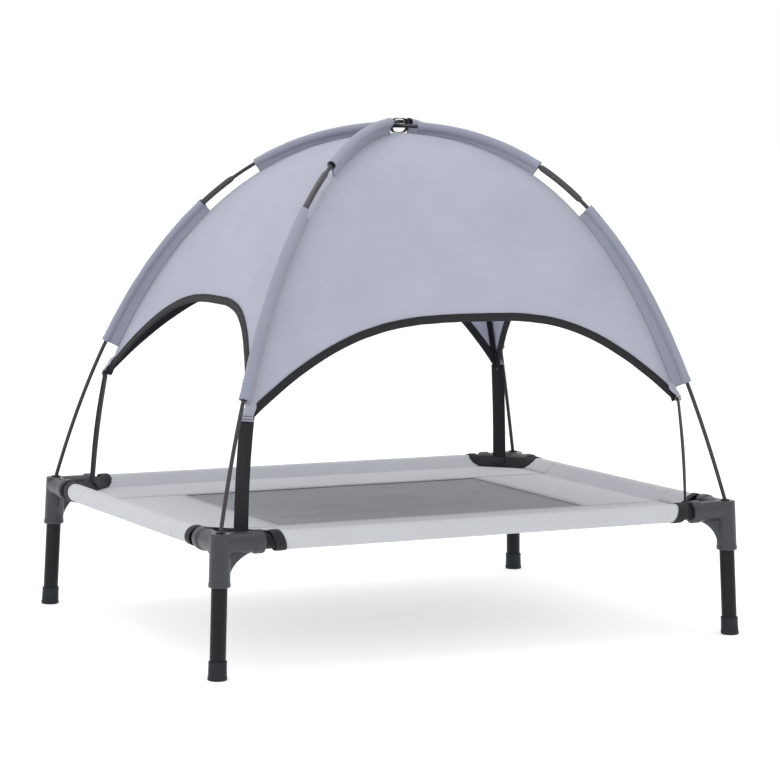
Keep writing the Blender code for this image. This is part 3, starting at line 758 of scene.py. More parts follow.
def add_rails():
    steel = MATERIALS["coated_steel"]
    for side in ("front", "back", "left", "right"):
        low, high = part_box("rail_" + side)
        long_side = side in ("front", "back")
        half = (high.x - low.x) / 2 if long_side else (high.y - low.y) / 2
        rows = lathe(rounded(tube_profile(-half, half), 0.0003))
        middle = (low + high) / 2
        order = (2, 0, 1) if long_side else (0, 2, 1)
        placed = [[Vector([point[axis] for axis in order]) + middle for point in row] for row in rows]
        surface = Surface()
        surface.grid([*placed, placed[0]], loop=True)
        node = "rail_" + side
        add_piece(node + "_fine", surface.mesh(node), steel, "bed", "coated_steel", [node])


# Bed cover.


def tangent_angles():
    """Where the cloth leaves the rail: the angles of its upper and its lower touching points."""
    drop = RAIL_Z - DECK_TOP
    distance = math.hypot(TANGENT_DEPTH, drop)
    middle = -math.atan2(drop, TANGENT_DEPTH)
    spread = math.acos(SLEEVE_RADIUS / distance)
    return middle + spread, 2 * math.pi + middle - spread


def sleeve_profile(steps=26):
    """(depth, height) round a rail: from the deck over the rail to the hem under the deck."""
    upper, lower = tangent_angles()
    profile = []
    start = Vector((TANGENT_DEPTH, DECK_TOP))
    touch = Vector((math.cos(upper), math.sin(upper))) * SLEEVE_RADIUS + Vector((0, RAIL_Z))
    for step in range(4):
        profile.append(tuple(start.lerp(touch, step / 4)))
    for step in range(steps + 1):
        angle = upper + (lower - upper) * step / steps
        profile.append((SLEEVE_RADIUS * math.cos(angle), RAIL_Z + SLEEVE_RADIUS * math.sin(angle)))
    profile.append((TANGENT_DEPTH, DECK_TOP - 1.6 * CLOTH))
    profile.append((HEM_DEPTH, DECK_TOP - 1.7 * CLOTH))
    return profile


def upper_height(depth):
    """The cloth's height at a distance inward from a rail's axis."""
    upper, _ = tangent_angles()
    touch = SLEEVE_RADIUS * math.cos(upper)
    if depth >= TANGENT_DEPTH:
        return DECK_TOP
    if depth >= touch:
        rise = RAIL_Z + SLEEVE_RADIUS * math.sin(upper) - DECK_TOP
        return DECK_TOP + rise * (TANGENT_DEPTH - depth) / (TANGENT_DEPTH - touch)
    return RAIL_Z + math.sqrt(SLEEVE_RADIUS**2 - depth**2)


def cloth_end(depth, height, outer_side):
    """How far from the leg's axis a rail sleeve ends: a straight cut that slants down the outside."""
    if outer_side:
        return CUT_REACH + CUT_SLANT * (RAIL_Z + SLEEVE_RADIUS - height) / (2 * SLEEVE_RADIUS)
    return min(CUT_REACH, CUT_SUM - depth)


def ripple(x, y):
    """Slight waves in the stretched cloth, stronger towards the corners."""
    slow = noise.noise(Vector((x * 9, y * 9, 0.3)))
    fine = noise.noise(Vector((x * 26, y * 26, 4.1)))
    corner_distance = math.hypot(HALF_X - abs(x), HALF_Y - abs(y))
    pull = math.exp(-corner_distance / 0.07)
    fan = math.sin(26 * math.atan2(HALF_Y - abs(y), HALF_X - abs(x)))
    return 0.0004 * slow + 0.00018 * fine + 0.0007 * pull * fan


def rail_sleeve(surface, seed, place, start_of, end_of, stations):
    """Cloth wrapped on one rail. place(depth, along, height) gives the point."""
    profile = sleeve_profile()
    top = max(range(len(profile)), key=lambda index: profile[index][1])
    rows = []
    for index, (depth, height) in enumerate(profile):
        start = start_of(depth, height, index > top)
        end = end_of(depth, height, index > top)
        row = []
        for station in range(stations + 1):
            along = start + (end - start) * station / stations
            wave = 1 + 0.02 * noise.noise(Vector((along * 30, index * 0.25, seed)))
            lifted = RAIL_Z + (height - RAIL_Z) * wave
            row.append(place(depth, along, lifted if depth < TANGENT_DEPTH else height))
        rows.append(row)
    surface.grid(rows, flat_of(rows))


def end_strip_surface(sign):
    """The strip on one long rail, with its plate and its wraps on the ends of both short rails."""
    surface = Surface()

    def long_place(depth, along, height):
        x = along
        y = sign * (HALF_Y - depth)
        lift = ripple(x, y) if depth >= TANGENT_DEPTH * 0.9 else 0
        return Vector((x, y, height + lift))

    def left_end(depth, height, outer_side):
        return -(HALF_X - cloth_end(depth, height, outer_side))

    def right_end(depth, height, outer_side):
        return HALF_X - cloth_end(depth, height, outer_side)

    rail_sleeve(surface, HALF_X, long_place, left_end, right_end, 90)
    window = HALF_Y - WINDOW_HIGH.y
    rows = []
    for step in range(25):
        depth = TANGENT_DEPTH + (window + HEM_LAP - TANGENT_DEPTH) * step / 24
        reach = HALF_X - max(TANGENT_DEPTH, CUT_SUM - depth)
        row = []
        for station in range(91):
            x = -reach + 2 * reach * station / 90
            y = sign * (HALF_Y - depth)
            row.append(Vector((x, y, DECK_TOP + ripple(x, y))))
        rows.append(row)
    surface.grid(rows, flat_of(rows))
    for side in (-1, 1):
        def short_place(depth, along, height, side=side):
            x = side * (HALF_X - depth)
            y = sign * (HALF_Y - along)
            lift = ripple(x, y) if depth >= TANGENT_DEPTH * 0.9 else 0
            return Vector((x, y, height + lift))

        rail_sleeve(surface, side, short_place, cloth_end, lambda *_: window + HEM_LAP, 16)
    return surface


def side_panel_surface(sign):
    surface = Surface()
    half = WINDOW_HIGH.y

    def place(depth, along, height):
        x = sign * (HALF_X - depth)
        lift = ripple(x, along) if depth >= TANGENT_DEPTH * 0.9 else 0
        return Vector((x, along, height + lift - 0.0003))

    rail_sleeve(surface, HALF_Y, place, lambda *_: -half, lambda *_: half, 60)
    rows = []
    for step in range(21):
        depth = TANGENT_DEPTH + (HALF_X - WINDOW_HIGH.x + HEM_LAP - TANGENT_DEPTH) * step / 20
        x = sign * (HALF_X - depth)
        ys = [-half + 2 * half * station / 60 for station in range(61)]
        rows.append([Vector((x, y, DECK_TOP - 0.0003 + ripple(x, y))) for y in ys])
    surface.grid(rows, flat_of(rows))
    return surface


def crinkle(x, y):
    """How far the netting sags between its seams, in soft slanting creases."""
    inside = min(1.0, (WINDOW_HIGH.x - abs(x)) / 0.03, (WINDOW_HIGH.y - abs(y)) / 0.03)
    creases = noise.noise(Vector((x * 11 + y * 5, y * 24 - x * 3, 2.6)))
    return -WINDOW_SAG * max(0.0, inside) * (1 + creases)


def window_surface():
    surface = Surface()
    half_x = WINDOW_HIGH.x + WINDOW_MARGIN
    half_y = WINDOW_HIGH.y + WINDOW_MARGIN
    level = DECK_TOP - 1.3 * CLOTH
    rows = []
    for step in range(71):
        y = -half_y + 2 * half_y * step / 70
        xs = [-half_x + 2 * half_x * station / 100 for station in range(101)]
        rows.append([Vector((x, y, level + ripple(x, y) + crinkle(x, y))) for x in xs])
    surface.grid(rows, flat_of(rows))
    return surface


def deck_line(points, count=120):
    """A line on the deck through level points, following the cloth's ripples."""
    points = [Vector(point) for point in points]
    line = []
    for first, second in zip(points, points[1:]):
        for step in range(count):
            point = first.lerp(second, step / count)
            line.append(Vector((point.x, point.y, DECK_TOP + CLOTH / 2 + ripple(point.x, point.y))))
    return line


def seam_ridges():
    """Two rows of thread round the window and along the hems."""
    surface = Surface()
    up = Vector((0, 0, 1))
    for inset in (0.0012, 0.0062):
        x = WINDOW_HIGH.x + inset - HEM_LAP + 0.002
        y = WINDOW_HIGH.y + inset - HEM_LAP + 0.002
        for sign in (-1, 1):
            reach = HALF_X - TANGENT_DEPTH
            line = deck_line([(-reach, sign * y, 0), (reach, sign * y, 0)], 300)
            add_stitches(surface, line, [up] * len(line))
            line = deck_line([(sign * x, -y, 0), (sign * x, y, 0)], 200)
            add_stitches(surface, line, [up] * len(line))
    hem = TANGENT_DEPTH + 0.0025
    for sign in (-1, 1):
        reach = HALF_X - max(TANGENT_DEPTH, CUT_SUM - hem) - 0.002
        y = sign * (HALF_Y - hem)
        line = deck_line([(-reach, y, 0), (reach, y, 0)], 300)
        add_stitches(surface, line, [up] * len(line))
        reach = HALF_Y - max(TANGENT_DEPTH, CUT_SUM - hem) - 0.002
        x = sign * (HALF_X - hem)
        line = deck_line([(x, -reach, 0), (x, reach, 0)], 300)
        add_stitches(surface, line, [up] * len(line))
    return surface


def polyline(points, count):
    """Evenly spaced points along a chain of straight pieces."""
    points = np.array(points)
    travelled = np.concatenate([[0], np.cumsum(np.linalg.norm(np.diff(points, axis=0), axis=1))])
    places = np.linspace(0, travelled[-1], count)
    return np.stack([np.interp(places, travelled, points[:, axis]) for axis in range(2)], axis=1)


def trim_outline(total, reach):
    """A line across the corner between the two rails, as distances from their axes."""
    step = total - reach
    return [(reach, 0.0), (reach, step), (step, reach), (0.0, reach)]


def trim_surface():
    """The binding at a front-left corner: a band that rises towards the leg and a ring on each rail."""
    surface = Surface()
    outer = polyline(trim_outline(BAND_OUTER_SUM, BAND_OUTER_REACH), 41)
    inner = polyline(trim_outline(BAND_INNER_SUM, BAND_INNER_REACH), 41)
    rows = []
    for (ox, oy), (ix, iy) in zip(outer, inner):
        low = max(upper_height(ox), upper_height(oy)) + 0.0010
        high = max(upper_height(ix), upper_height(iy), BAND_RISE) + 0.0008
        row = []
        for step in range(7):
            t = step / 6
            crown = 0.0006 * math.sin(math.pi * t)
            row.append(Vector((ox + (ix - ox) * t, oy + (iy - oy) * t, low + (high - low) * t + crown)))
        rows.append(row)
    surface.grid(rows, flat_of(rows))
    for swap in (False, True):
        rows = []
        for step in range(ROUND + 1):
            angle = math.pi / 2 + 2 * math.pi * step / ROUND
            depth = RING_RADIUS * math.cos(angle)
            height = RAIL_Z + RING_RADIUS * math.sin(angle)
            slant = CUT_SLANT * (RAIL_Z + RING_RADIUS - height) / (2 * RING_RADIUS)
            row = []
            for share in (0, 0.05, 0.12, 0.5, 0.88, 0.95, 1):
                swell = 0.0004 * math.sin(math.pi * share)
                along = BAND_INNER_REACH + slant + (BAND_OUTER_REACH - BAND_INNER_REACH) * share
                spread = 1 + swell / RING_RADIUS
                point = (along, depth * spread, RAIL_Z + (height - RAIL_Z) * spread)
                row.append(Vector((point[1], point[0], point[2]) if swap else point))
            rows.append(row)
        surface.grid(rows, flat_of(rows))
    return surface


def trim_stitches():
    surface = Surface()
    for share in (0.16, 0.84):
        total = BAND_OUTER_SUM + (BAND_INNER_SUM - BAND_OUTER_SUM) * share
        reach = BAND_OUTER_REACH + (BAND_INNER_REACH - BAND_OUTER_REACH) * share
        line = []
        for x, y in polyline(trim_outline(total, reach), 61):
            low = max(upper_height(x), upper_height(y)) + 0.0016
            high = max(low, DECK_TOP + (BAND_RISE - DECK_TOP) * share + 0.0016)
            line.append(Vector((x, y, high)))
        outward = [Vector((-0.4, -0.4, 1))] * len(line)
        add_stitches(surface, line, outward)
    return surface


def add_cover():
    canvas = MATERIALS["bed_canvas"]
    netting = MATERIALS["mesh_fabric"]
    webbing = MATERIALS["black_webbing"]
    for side, sign in (("front", -1), ("back", 1)):
        surface = end_strip_surface(sign)
        node = "cover_end_strip_" + side
        piece = add_piece(node + "_cloth", surface.mesh(node), canvas, "bed", "bed_canvas", [node], CLOTH)
        surface.area()
    for side, sign in (("left", -1), ("right", 1)):
        surface = side_panel_surface(sign)
        node = "cover_side_panel_" + side
        piece = add_piece(node + "_cloth", surface.mesh(node), canvas, "bed", "bed_canvas", [node], CLOTH)
        surface.area()
    surface = window_surface()
    node = "cover_mesh_window"
    piece = add_piece(node + "_cloth", surface.mesh(node), netting, "bed", "mesh_fabric", [node], CLOTH)
    threads = seam_ridges().mesh("stitching")
    add_piece("cover_stitching", threads, CANVAS_THREAD, "bed", "bed_canvas", weld=False)
    trim = trim_surface().mesh("corner_trim")
    threads = trim_stitches().mesh("trim_threads")
    for corner, signs in CORNERS.items():
        node = "corner_trim_" + corner
        tape = at_corner(trim, signs)
        add_piece(node + "_tape", tape, webbing, "bed", "black_webbing", [node], TRIM_THICKNESS)
        name = "trim_stitching_" + corner
        add_piece(name, at_corner(threads, signs), DARK_THREAD, "bed", "black_webbing", weld=False)


# Poles.


class Bow:
    """Half of a pole, from its tip to the crown, as reach and height against distance."""

    def __init__(self, crown_height, samples=400):
        foot_reach = math.hypot(HALF_X - CAP_PLACE, HALF_Y - CAP_PLACE)
        foot = np.array((foot_reach, POST_TOP))
        lean = np.array((-math.sin(FOOT_LEAN), math.cos(FOOT_LEAN)))
        crown = np.array((0.0, crown_height))
        t = np.linspace(0, 1, samples)[:, None]
        handles = (foot, foot + lean * FOOT_PULL, crown + np.array((CROWN_PULL, 0.0)), crown)
        weights = ((1 - t) ** 3, 3 * (1 - t) ** 2 * t, 3 * (1 - t) * t**2, t**3)
        curve = sum(weight * handle for weight, handle in zip(weights, handles))
        tip = np.array([[foot_reach, CAP_FLOOR + GAP]])
        self.points = np.concatenate([tip, curve])
        self.share = np.concatenate([[0], t[:, 0]])
        steps = np.linalg.norm(np.diff(self.points, axis=0), axis=1)
        self.travelled = np.concatenate([[0], np.cumsum(steps)])
        self.length = self.travelled[-1]

    def place(self, distance):
        """(reach, height) at a distance from the tip, past the crown too."""
        mirrored = distance > self.length
        inside = 2 * self.length - distance if mirrored else distance
        reach = np.interp(inside, self.travelled, self.points[:, 0])
        height = np.interp(inside, self.travelled, self.points[:, 1])
        return Vector((-reach if mirrored else reach, height))

    def inward(self, distance):
        run = (self.place(distance + 0.001) - self.place(distance - 0.001)).normalized()
        return Vector((-run.y, run.x))

    def seam_depth(self, distance):
        share = np.interp(distance, self.travelled, self.share)
        return TIP_DEPTH + (CROWN_DEPTH - TIP_DEPTH) * share


MEAN_BOW = Bow(CROWN_HEIGHT)


def seam_points(samples=240):
    start = MEAN_BOW.travelled[1]
    distances = np.linspace(start, MEAN_BOW.length, samples)
    bow = MEAN_BOW
    return np.array([tuple(bow.place(d) + bow.inward(d) * bow.seam_depth(d)) for d in distances])


SEAM = seam_points()
SEAM[-1, 0] = 0.0
SEAM_STEPS = np.concatenate([[0], np.cumsum(np.linalg.norm(np.diff(SEAM, axis=0), axis=1))])


def seam_at(distance):
    return Vector([np.interp(distance, SEAM_STEPS, SEAM[:, axis]) for axis in range(2)])


def seam_distance(height):
    return float(np.interp(height, SEAM[:, 1], SEAM_STEPS))


class Arm:
    """The upright plane of one half pole."""

    def __init__(self, corner):
        signs = CORNERS[corner]
        self.out = Vector((signs[0] * HALF_X, signs[1] * HALF_Y, 0)) / DIAGONAL
        self.side = Vector((-self.out.y, self.out.x, 0))
        over = 1 if signs[0] == signs[1] else -1
        self.bow = Bow(CROWN_HEIGHT + over * POLE_CROSSING / 2)

    def point(self, flat, sideways=0.0):
        return self.out * flat[0] + self.side * sideways + Vector((0, 0, flat[1]))

    def ring(self, distance, shape):
        """A section across the bow from (inward, sideways) pairs."""
        middle = self.bow.place(distance)
        inward = self.bow.inward(distance)
        return [self.point(middle + inward * depth, sideways) for depth, sideways in shape]

    def hollow(self, places, bore, sides):
        """A tube through (distance, outer radius) pairs, with an even bore and both ends open."""
        angles = [2 * math.pi * turn / sides for turn in range(sides)]
        circle = [(math.cos(angle), math.sin(angle)) for angle in angles]
        outer = [self.ring(d, [(r * c, r * s) for c, s in circle]) for d, r in places]
        inner = [self.ring(d, [(bore * c, bore * s) for c, s in circle]) for d, _ in reversed(places)]
        rows = [*outer, *inner, outer[0]]
        surface = Surface()
        surface.grid(rows, flat_of(rows), loop=True)
        return surface

    def pole(self, start, end, steps):
        places = [(start + (end - start) * step / steps, POLE_RADIUS) for step in range(steps + 1)]
        return self.hollow(places, POLE_RADIUS - POLE_WALL, 16)


def ferrule_surface(arm, middle):
    """A metal tube over a pole joint, rolled in at both ends."""
    half = FERRULE_LENGTH / 2
    bore = POLE_RADIUS + GAP
    lip = bore + FERRULE_LIP
    places = []
    for step in range(25):
        offset = -half + FERRULE_LENGTH * step / 24
        edge = (half - abs(offset)) / FERRULE_TAPER
        swell = 1 - max(0.0, 1 - edge) ** 2
        places.append((middle + offset, lip + (FERRULE_RADIUS - lip) * swell))
    return arm.hollow(places, bore, 24)


def add_poles():
    glass = MATERIALS["fibreglass_pole"]
    metal = MATERIALS["dark_ferrule"]
    for corner in CORNERS:
        arm = Arm(corner)
        node = "pole_end_section_" + corner
        mesh = arm.pole(0.0, FERRULES[corner] - GAP / 2, 70).mesh(node)
        add_piece(node + "_fine", mesh, glass, "canopy", "fibreglass_pole", [node])
        node = "pole_ferrule_" + corner
        mesh = ferrule_surface(arm, FERRULES[corner]).mesh(node)
        add_piece(node + "_fine", mesh, metal, "canopy", "dark_ferrule", [node])
    for near, far in (("front_left", "back_right"), ("front_right", "back_left")):
        arm = Arm(near)
        start = FERRULES[near] + GAP / 2
        end = 2 * arm.bow.length - FERRULES[far] - GAP / 2
        node = "pole_crown_section_" + near
        mesh = arm.pole(start, end, 90).mesh(node)
        add_piece(node + "_fine", mesh, glass, "canopy", "fibreglass_pole", [node])
        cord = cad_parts["pole_shock_cord_" + near].data.materials
        cord.clear()
        cord.append(MATERIALS["elastic_cord"])


# Canopy cloth.


def canopy_point(side, share, distance):
    """A point on a panel: share runs from one seam, -1, to the other, 1."""
    first, second = (Vector((*CORNERS[corner], 0)) for corner in SIDES[side])
    scale = Vector((HALF_X / DIAGONAL, HALF_Y / DIAGONAL))
    flat = seam_at(distance)
    start = Vector((first.x * scale.x, first.y * scale.y, 0)) * flat[0]
    end = Vector((second.x * scale.x, second.y * scale.y, 0)) * flat[0]
    return start.lerp(end, (share + 1) / 2) + Vector((0, 0, flat[1]))


def arch_height(side, share):
    """The height of a panel's lower edge, between its two corners and its peak."""
    peak = ARCH_PEAKS[side]
    first, last = SIDES[side]
    tip = TIP_HEIGHTS[first if share < peak else last]
    span = 1 + peak if share < peak else 1 - peak
    fall = (abs(share - peak) / span) ** ARCH_POWERS[side]
    return tip + (ARCH_HEIGHTS[side] - tip) * (1 - fall)


def panel_grid(side, columns=40, rows=44):
    grid = []
    for column in range(columns + 1):
        share = 2 * column / columns - 1
        start = seam_distance(arch_height(side, share))
        end = SEAM_STEPS[-1]
        places = [start + (end - start) * row / rows for row in range(rows + 1)]
        grid.append([canopy_point(side, share, place) for place in places])
    return grid


def crease(share, rise, point):
    """How far a canopy point stands out of its smooth surface: soft waves, and pulls along the seams."""
    away = 1 - abs(share)
    hold = min(1.0, away * 6) * min(1.0, (1 - rise) * 5) * min(1.0, 0.05 + rise * 6)
    slow = noise.noise(point * 7.0 + Vector((0.0, 3.1, 0.0)))
    drawn = noise.noise(Vector((point.x * 18, point.y * 18, point.z * 7)))
    edge = math.exp(-away * 9)
    pucker = math.sin(rise * 95 + 3 * share) * edge * min(1.0, away * 30) * min(1.0, rise * 8)
    return hold * (SLOW_WAVE * slow + FINE_WAVE * drawn) + SEAM_PUCKER * pucker


def canopy_surface():
    surface = Surface()
    for side in SIDES:
        grid = panel_grid(side)
        first = grid[0][0] - grid[-1][0]
        shaped = []
        flat = flat_of(grid)
        for column, points in enumerate(grid):
            share = 2 * column / (len(grid) - 1) - 1
            row = []
            for index, point in enumerate(points):
                rise = index / (len(points) - 1)
                after = points[min(index + 1, len(points) - 1)]
                before = points[max(index - 1, 0)]
                normal = (after - before).cross(first).normalized()
                if normal.dot(Vector((point.x, point.y, 0.3))) < 0:
                    normal = -normal
                row.append(point + normal * crease(share, rise, point))
            shaped.append(row)
        surface.grid(shaped, flat)
    return surface


def edge_frames(side, columns=90):
    """Along a panel's arched edge: the point, the direction up the cloth, and the direction out of it."""
    frames = []
    shares = [(2 * column / columns - 1) * BINDING_SPAN for column in range(columns + 1)]
    edge = [canopy_point(side, s, seam_distance(arch_height(side, s))) for s in shares]
    for index, share in enumerate(shares):
        above = canopy_point(side, share, seam_distance(arch_height(side, share)) + 0.01)
        run = (edge[min(index + 1, columns)] - edge[max(index - 1, 0)]).normalized()
        up = (above - edge[index]).normalized()
        out = run.cross(up).normalized()
        if out.dot(Vector((edge[index].x, edge[index].y, 0))) < 0:
            out = -out
        up = (up - run * up.dot(run)).normalized()
        frames.append((edge[index], up, out, run))
    return frames


def binding_surface(side):
    """Tape folded over the arched edge, a little proud of it at both ends."""
    frames = edge_frames(side)
    first, last = frames[0], frames[-1]
    before = (first[0] - first[3] * BINDING_OVERRUN, *first[1:])
    after = (last[0] + last[3] * BINDING_OVERRUN, *last[1:])
    frames = [before, *frames, after]
    half = BINDING_THICKNESS / 2
    section = []
    for step in range(9):
        angle = math.pi + math.pi * step / 8
        section.append((-0.0005 + 0.0012 * math.sin(angle), -half * math.cos(angle)))
    for step in range(5):
        section.append((BINDING_WIDTH * (0.3 + 0.7 * step / 4), -half + 0.0003))
    for step in range(5):
        section.append((BINDING_WIDTH * (1 - 0.7 * step / 4), half - 0.0003))
    surface = Surface()
    rows = []
    for index, (point, up, out, _) in enumerate(frames):
        wave = 0.0004 * noise.noise(Vector((index * 0.35, 0, 7.7)))
        rows.append([point + up * (rise + wave) + out * depth for rise, depth in section])
    surface.tube(rows)
    return surface


def binding_stitches(side):
    surface = Surface()
    frames = edge_frames(side)
    rise = BINDING_WIDTH * 0.8
    for direction in (1, -1):
        depth = direction * (BINDING_THICKNESS / 2 - 0.0002)
        line = [point + up * rise + out * depth for point, up, out, _ in frames]
        outward = [out * direction for _, _, out, _ in frames]
        add_stitches(surface, line, outward)
    return surface


def seam_tape_surface(arm, tip_height):
    """Tape sewn along the inside of a seam, from the corner to the crown."""
    surface = Surface()
    start = seam_distance(tip_height) + 0.004
    rows = []
    for step in range(81):
        distance = start + (SEAM_STEPS[-1] - 0.012 - start) * step / 80
        flat = seam_at(distance)
        ahead = seam_at(distance + 0.001) - seam_at(distance - 0.001)
        inward = Vector((-ahead.y, ahead.x)).normalized()
        row = []
        for across in (-1, -0.6, -0.2, 0, 0.2, 0.6, 1):
            drop = 0.0022 + 0.0042 * abs(across) ** 1.3
            row.append(arm.point(flat + inward * drop, across * SEAM_TAPE_HALF_WIDTH))
        rows.append(row)
    surface.grid(rows, flat_of(rows))
    return surface


def pocket_section(depth, radius, spread):
    """Cloth folded round the pole and sewn to itself, from one root to the other."""
    half = 0.0008
    section = [(depth, half), (depth * 0.75 + radius * 0.3, half + spread * 0.5), (radius * 1.5, half)]
    steps = 18
    for step in range(steps + 1):
        angle = POCKET_MOUTH + 2 * (math.pi - POCKET_MOUTH) * step / steps
        section.append((radius * math.cos(angle), radius * math.sin(angle)))
    section += [(radius * 1.5, -half), (depth * 0.75 + radius * 0.3, -half + spread * 0.5), (depth, -half)]
    return section


def pocket_surface(arm, start, end, seed):
    """A pole sleeve on its fin, hemmed at both ends."""
    surface = Surface()
    stations = 64
    rows = []
    for station in range(stations + 1):
        distance = start + (end - start) * station / stations
        along = station / stations
        hem = 0.0004 if min(along, 1 - along) * (end - start) < 0.007 else 0.0
        wave = noise.noise(Vector((distance * 42, seed, 0)))
        radius = POCKET_RADIUS + hem + 0.0004 * wave
        spread = 0.0012 * noise.noise(Vector((distance * 30, seed, 5)))
        middle = arm.bow.place(distance)
        root = MEAN_BOW.place(distance) + MEAN_BOW.inward(distance) * MEAN_BOW.seam_depth(distance)
        depth = (root - middle).length + 0.0005
        rows.append(arm.ring(distance, pocket_section(depth, radius, spread)))
    surface.grid(rows, flat_of(rows))
    return surface


def pocket_stitches(arm, start, end):
    surface = Surface()
    distances = np.linspace(start + 0.002, end - 0.002, 90)
    for sign in (1, -1):
        line = [arm.ring(d, [(POCKET_RADIUS * 1.55, sign * 0.0013)])[0] for d in distances]
        add_stitches(surface, line, [arm.side * sign] * len(line))
    return surface


def strap_section(width, thickness):
    half = width / 2
    edge = thickness / 2
    return [
        (-half, -edge * 0.5),
        (-half + edge, -edge),
        (half - edge, -edge),
        (half, -edge * 0.5),
        (half, edge * 0.5),
        (half - edge, edge),
        (-half + edge, edge),
        (-half, edge * 0.5),
    ]


def strap_surface(arm, tip_height):
    """Webbing from the bed's corner to the canopy's corner, with a sewn tab at its foot."""
    low = Vector(STRAP_BOTTOM)
    top = Vector((seam_at(seam_distance(tip_height))[0] - 0.0005, tip_height + STRAP_LAP))
    surface = Surface()
    rows = []
    steps = 40
    for step in range(steps + 1):
        t = step / steps
        slack = STRAP_SLACK * math.sin(math.pi * t)
        middle = low.lerp(top, t) + Vector((slack, 0))
        twist = 0.05 * math.sin(math.pi * t)
        row = []
        for across, depth in strap_section(STRAP_WIDTH, STRAP_THICKNESS):
            row.append(arm.point(middle + Vector((depth + across * twist, 0)), across))
        rows.append(row)
    surface.tube(rows)
    tab = []
    section = strap_section(STRAP_WIDTH, TAB_THICKNESS)
    for step in range(9):
        t = step / 8
        bow = 0.002 * math.sin(math.pi * t)
        place = low + Vector((0.0006 - 0.0115 * t, -0.0006 - 0.0085 * t + bow))
        tab.append([arm.point(place + Vector((0, depth)), across) for across, depth in section])
    surface.tube(tab)
    return surface


def smooth(share):
    """A step from 0 to 1 with soft ends."""
    share = min(1.0, max(0.0, share))
    return share * share * (3 - 2 * share)


def corner_wrap_surface(arm, tip_height):
    """The canopy's corner cloth: flat over the top of the strap, then a tongue up the ridge of the seam."""
    reach = seam_at(seam_distance(tip_height))[0]
    surface = Surface()
    rows = []
    for step in range(25):
        t = step / 24
        height = tip_height + WRAP_FOOT + WRAP_HEIGHT * t
        fold = smooth((height - tip_height - 0.005) / 0.015)
        sink = smooth((t - 0.65) / 0.35)
        seam_reach = seam_at(seam_distance(height))[0]
        flat_reach = reach + 0.0024
        middle = flat_reach + (seam_reach + 0.0042 - flat_reach) * fold - 0.0056 * sink
        half_width = (STRAP_WIDTH / 2 + 0.0003) * (1 - 0.62 * t)
        row = []
        for place in range(-8, 9):
            across = place / 8
            sweep = HALF_X / HALF_Y if across * arm.out.x * arm.out.y > 0 else HALF_Y / HALF_X
            swept = abs(across) * half_width * sweep * fold
            row.append(arm.point((middle - swept, height), across * half_width))
        rows.append(row)
    surface.grid(rows, flat_of(rows))
    return surface


def wrap_stitches(arm, tip_height):
    surface = Surface()
    reach = seam_at(seam_distance(tip_height))[0] + 0.0029
    places = [STRAP_WIDTH * 0.46 * (step / 10 - 1) for step in range(21)]
    for rise in (0.0045, 0.0085):
        line = [arm.point((reach, tip_height + rise), across) for across in places]
        add_stitches(surface, line, [arm.out] * len(line), 0.0030, 0.0024, 0.0005)
    return surface


def tie_surface():
    """The tape looped round both poles at the crown."""
    middle = (TIE_TOP + TIE_BOTTOM) / 2
    half_height = (TIE_TOP - TIE_BOTTOM) / 2
    surface = Surface()
    ends = (-1, -0.9, -0.5, 0, 0.5, 0.9, 1)
    outline = []
    for step in range(ROUND):
        angle = 2 * math.pi * step / ROUND
        x = TIE_HALF_WIDTH * math.copysign(abs(math.cos(angle)) ** 0.55, math.cos(angle))
        z = half_height * math.copysign(abs(math.sin(angle)) ** 0.7, math.sin(angle))
        outline.append((x * 0.95, z * 0.95))
    rows = []
    for end in ends:
        rows.append([Vector((x, end * TIE_HALF_LENGTH, middle + z)) for x, z in outline])
    surface.grid(rows, flat_of(rows), loop=True)
    return surface


def add_canopy():
    cloth = MATERIALS["canopy_cloth"]
    webbing = MATERIALS["black_webbing"]
    surface = canopy_surface()
    nodes = ["canopy_panel_" + side for side in SIDES]
    canopy = add_piece("canopy_sheet", surface.mesh("canopy"), cloth, "canopy", "canopy_cloth", nodes, CLOTH)
    area = surface.area()
    for side in SIDES:
        name = "arch_binding_" + side
        add_piece(name, binding_surface(side).mesh(name), webbing, "canopy", "black_webbing")
        name = "binding_stitching_" + side
        threads = binding_stitches(side).mesh(name)
        add_piece(name, threads, DARK_THREAD, "canopy", "black_webbing", weld=False)
    for corner in CORNERS:
        add_canopy_corner(corner, cloth, webbing)
    tie = tie_surface().mesh("crown_tie")
    nodes = ["crown_tie"]
    add_piece("crown_tie_tape", tie, webbing, "canopy", "black_webbing", nodes, TIE_TAPE_THICKNESS)


